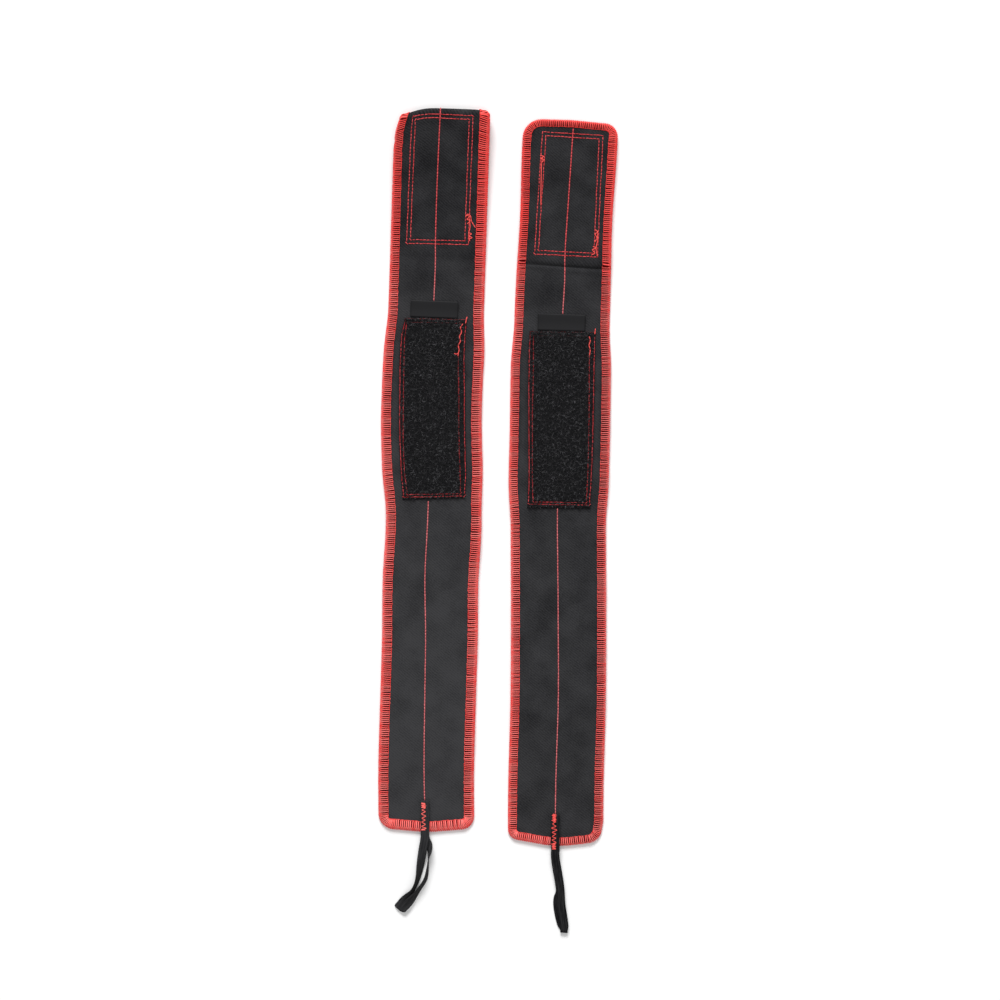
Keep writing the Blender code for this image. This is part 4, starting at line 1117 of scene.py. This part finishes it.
def sewnLabel(side, wrap):
    ply, tall, width, radius = (labelSheet[name] for name in ("ply", "height", "width", "fold"))
    start, low = (ply + labelSheet["gap"]) / 2, tapeSheet["foot"] + ply / 2
    away, angle = np.linspace(0, tall - radius, 14), np.linspace(-1.3, 1.3, 9)
    lift = 2 * (start + (radius - start) * easeStep((away / (tall - radius)) * 1.6 - 0.6))
    down = np.column_stack([away, np.full(len(away), low)])
    bend = np.column_stack([tall - radius + radius * np.cos(angle), low + radius + radius * np.sin(angle)])
    path = np.concatenate([down, bend, np.column_stack([away, low + lift])[::-1]])
    path[:, 1] += labelSheet["lift"] * (path[:, 0] / tall) ** 2
    middle = np.column_stack([np.zeros(len(path)), path])
    wide = np.linspace(-0.5, 0.5, 33) * width
    aside = np.tile((1.0, 0, 0), (len(path), 1))
    points, faces = closedSheet(*ribbon(middle, aside, wide, np.full(len(wide), ply / 2)))
    curl = labelSheet["curl"] * (np.abs(points[:,
                                               0]) / (width / 2)) ** 6 * np.clip(points[:, 1] / tall, 0, 1)
    points = points + (wrap["labelAside"], wrap["labelFoot"], 0.0)
    points[:, 2] += curl
    piece = makePiece(f"{side}_bare_label", layDown(wrap, points), faces, woven["labelSatin"], flat=points)
    settle(piece, "label", side + "_label", f"{side}_label")


elasticTape = {"width": 0.0072, "thick": 0.0009, "ribs": 7, "sewn": 0.0275, "low": 0.0035, "high": 0.00465,
               "stub": 0.0025, "ribDeep": 0.16, "toeNarrow": 0.14}


def thumbElastic(side, wrap):
    over, under, turn = wrap["over"], wrap["under"], wrap["underTurn"]
    half, sewn = elasticTape["width"] / 2, elasticTape["sewn"]
    high, low = elasticTape["high"], elasticTape["low"]
    one, other = over[-1][2], under[0][2]
    toe, slant = np.array(wrap["toe"]), np.array(wrap["toeAslant"])
    way = unit(toe - np.array(over[-1][:2]))
    back = toe - way * abs(other - one) / 2
    bend = [(*back, one, 0), (*(toe + slant / 2), (one + other) / 2, 0), (*(back + slant), other, 0)]
    ends = (sewn, sewn / 2, 0, -elasticTape["stub"])
    route = [*((0, at, high, 0) for at in ends), *over, *bend, *under,
             *((0, at, low, turn) for at in ends[:0:-1]),
             (0, sewn - 0.001, low, turn)]
    route = np.array(route, float)
    route[:, 3] = np.radians(route[:, 3])
    standing, lying = np.abs(np.sin(route[:, 3])), np.abs(np.cos(route[:, 3]))
    route[:, 2] += half * standing + elasticTape["thick"] / 2 * lying
    run, last = runAlong(route[:, :3]), len(route) - 1
    number = np.linspace(0, last, last * 10 + 1)
    at = np.interp(number, np.arange(last + 1), run)
    lines = [lineThrough(list(zip(run, values)), at) for values in route.T]
    middle, tilts = np.stack([line[0] for line in lines[:3]], 1), lines[3][0]
    heads = np.stack([lines[0][1], lines[1][1]], 1)
    toeNumber = len(over) + 5
    heads[number > toeNumber] *= -1
    toeShare = easeStep(2.4 - np.abs(number - toeNumber))[:, None]
    heads = unit(unit(heads, 1e-9) * (1 - toeShare) + way * toeShare)  # the route stands still at the toe
    aside = np.stack([-heads[:, 1] * np.cos(tilts), heads[:, 0] * np.cos(tilts), np.sin(tilts)], 1)
    root = layDown(wrap, [(wrap["thumbAside"], 0.0, 0.0)])[0]
    share = np.linspace(-1, 1, elasticTape["ribs"] * 4 + 1)
    deep = elasticTape["ribDeep"]
    rib = 1 - deep + deep * np.cos(np.pi * elasticTape["ribs"] * (share + 1))
    thick = elasticTape["thick"] / 2 * rib * (1 - 0.5 * np.abs(share) ** 12)
    aside = aside * (1 - elasticTape["toeNarrow"] * toeShare)
    points, faces = closedSheet(*ribbon(middle + root, aside, share * half, thick))
    grid = gridOf(share[None, :] * half, at[:, None], 0.0).reshape(-1, 3)
    # painted sheen on the elastic, from this wrap's value: the tilted left loop is lighter
    piece = makePiece(f"{side}_thumb_elastic", points, faces, woven["ribbedElastic"],
                      flat=np.concatenate([grid, grid]),
                      worn=np.full_like(points, wrap["elasticPaintedSheen"]))
    settle(piece, "elastic", wrap["thumbFold"],
           *(f"{side}_{node}" for node in ("thumb_loop", "sewn_end_over", "sewn_end_under")))


tackStitch = {"pitch": 0.00175, "thick": 0.00031, "barPitch": 0.00046, "up": 0.00560, "uneven": 0.22,
              "stray": 0.0002}


def zigzagTack(side, wrap):
    tack, stray = wrap["tack"], tackStitch["stray"]
    stations = [elasticTape["sewn"] + tack["start"]]
    while stations[-1] > tack["end"]:  # close at both ends, open between
        nearEnd = stations[-1] > stations[0] - tack["head"] or stations[-1] < tack["end"] + tack["foot"]
        stations.append(stations[-1] - tackStitch["barPitch" if nearEnd else "pitch"])
    shift = np.random.default_rng(7 if side == "left" else 8)
    points = []
    for number, station in enumerate(stations):
        reach = (1 if number % 2 else -1) * tack["wide"] / 2 * (1 + tackStitch["uneven"]
                                                                * shift.standard_normal())
        along = station + stray * shift.standard_normal()
        points.append((wrap["thumbAside"] + tack["aside"] + reach, along,
                       tackStitch["up"] + stray * shift.random()))
    rings, faces, marks = strand(smoothed(points, 5), tackStitch["thick"])
    piece = makePiece(f"{side}_zigzag", layDown(wrap, rings), faces, threads["tackThread"], strand=marks,
                      shade=np.full_like(marks, tack["shade"]))
    settle(piece, "sewing_thread", wrap["thumbFold"], f"{side}_thumb_tack")


tailThread = {"thick": 0.00040, "rise": 0.00030, "waver": 0.00022, "wavelength": 0.0030, "shade": 0.4}


# back tacks and thread ends, in millimetres on the flat strap
def looseThreads(side, wrap, name, body, level):
    strands = []
    for points in wrap[name + "Tails"]:
        line = smoothed(np.array(points) / 1000, 8)
        waver = tailThread["waver"] * np.sin(2 * np.pi * runAlong(line) / tailThread["wavelength"])
        strands.append(strand(np.column_stack([line, level + tailThread["rise"] + waver]),
                              tailThread["thick"]))
    rings, faces, marks = gather(strands)
    piece = makePiece(f"{side}_{name}_thread_ends", layDown(wrap, rings), faces, threads["tackThread"],
                      strand=marks,
                      shade=np.full_like(marks, tailThread["shade"]))
    settle(piece, "sewing_thread", body)


for side, wrap in wraps.items():
    wrap["edge"] = cutEdge(wrap)
    hookBox = np.array(wrap["hookBox"])
    patchRows = [(boxLine(wrap["patchOuter"]), True), (boxLine(wrap["patchInner"]), True)]
    rows = [(hookBox, True), (insetBox(hookBox, hookTape["rowInset"]), True),
            (lineAlong(wrap["seam"], 0.01), False)]
    face = clothPiece(f"{side}_face_cloth", wrap, strap["faceLow"], strap["face"], rows, True)
    back = clothPiece(f"{side}_back_cloth", wrap, strap["backLow"], strap["backTop"], patchRows + rows,
                      False)
    host = lineHost(wrap["edge"], True, 0.0, lambda line: bandScale(wrap, line),
                    lambda line: endFullness(wrap, line))
    edge = grow(f"{side}_overlock_stitches", host, sewTree, wrap, Copy=overlockSource,
                Spacing=overlockStitch["pitch"],
                Turn=0.05, Roll=0.0, Length_Spread=0.08, Width_Spread=0.03, Wave=0.4, Stray=0.0, Sink=0.0,
                Dullest=0.0, Brightest=1.0, Seed=80, Look=threads["overlockThread"])
    for piece, slot, node in ((face, "cloth", "face_ply"), (back, "cloth", "back_ply"),
                              (edge, "overlock_thread", "overlock")):
        settle(piece, slot, wrap["tabFold"], f"{side}_{node}", f"{side}_tab_{node}")
    loopPatch(side, wrap)
    hookPatch(side, wrap)
    centreSeam(side, wrap)
    sewnLabel(side, wrap)
    thumbElastic(side, wrap)
    zigzagTack(side, wrap)
    looseThreads(side, wrap, "tab", side + "_tab", strap["face"])
    looseThreads(side, wrap, "patch", "wraps", tapeSheet["foot"] + tapeSheet["base"] + 0.0003)
    print(side, "wrap made")

for source in sources:
    bpy.data.objects.remove(source, do_unlink=True)

# table, light and camera
floorLook = {"size": 30.0, "colour": 0.91}
corners = np.array([(-1, -1, 0), (1, -1, 0), (1, 1, 0), (-1, 1, 0)]) * floorLook["size"] / 2
paper, tree, shader = newMaterial("paper", Roughness=1.0, Specular_IOR_Level=0.0)
shader["Base Color"].default_value = (floorLook["colour"],) * 3 + (1.0,)
makePiece("floor", corners, [[0, 1, 2, 3]], paper)

scene.world = bpy.data.worlds.new("studio")
scene.world.use_nodes = True
sky = scene.world.node_tree.nodes["Background"].inputs
sky["Color"].default_value = (1.0, 1.0, 1.0, 1.0)
sky["Strength"].default_value = 0.41


def softBox(name, place, aim, size, power):
    light = bpy.data.lights.new(name, "AREA")
    light.shape = "RECTANGLE"
    light.size, light.size_y = size
    light.energy = power
    lamp = showObject(name, light)
    lamp.location = place
    x, y, z = np.array(aim) - np.array(place)
    lamp.rotation_euler = (math.atan2(math.hypot(x, y), -z), 0.0, math.atan2(y, x) - math.pi / 2)


softBox("key", (-0.6, 8.0, 5.0), (0.0, 0.0, 0.0), (5.0, 2.8), 1105.0)
softBox("fill", (0.05, -0.7, 1.7), (0.0, -0.2, 0.0), (1.2, 0.8), 6.0)

metresSeen, cameraHeight, sensor = 0.842, 2.0, 36.0
camera = bpy.data.cameras.new("camera")
scene.camera = showObject("camera", camera)
scene.camera.location = (0.00134, 0.01747, cameraHeight)
camera.sensor_width = sensor
camera.lens = sensor * 1.997 / metresSeen  # from the camera down to the cloth's face
print("studio made")
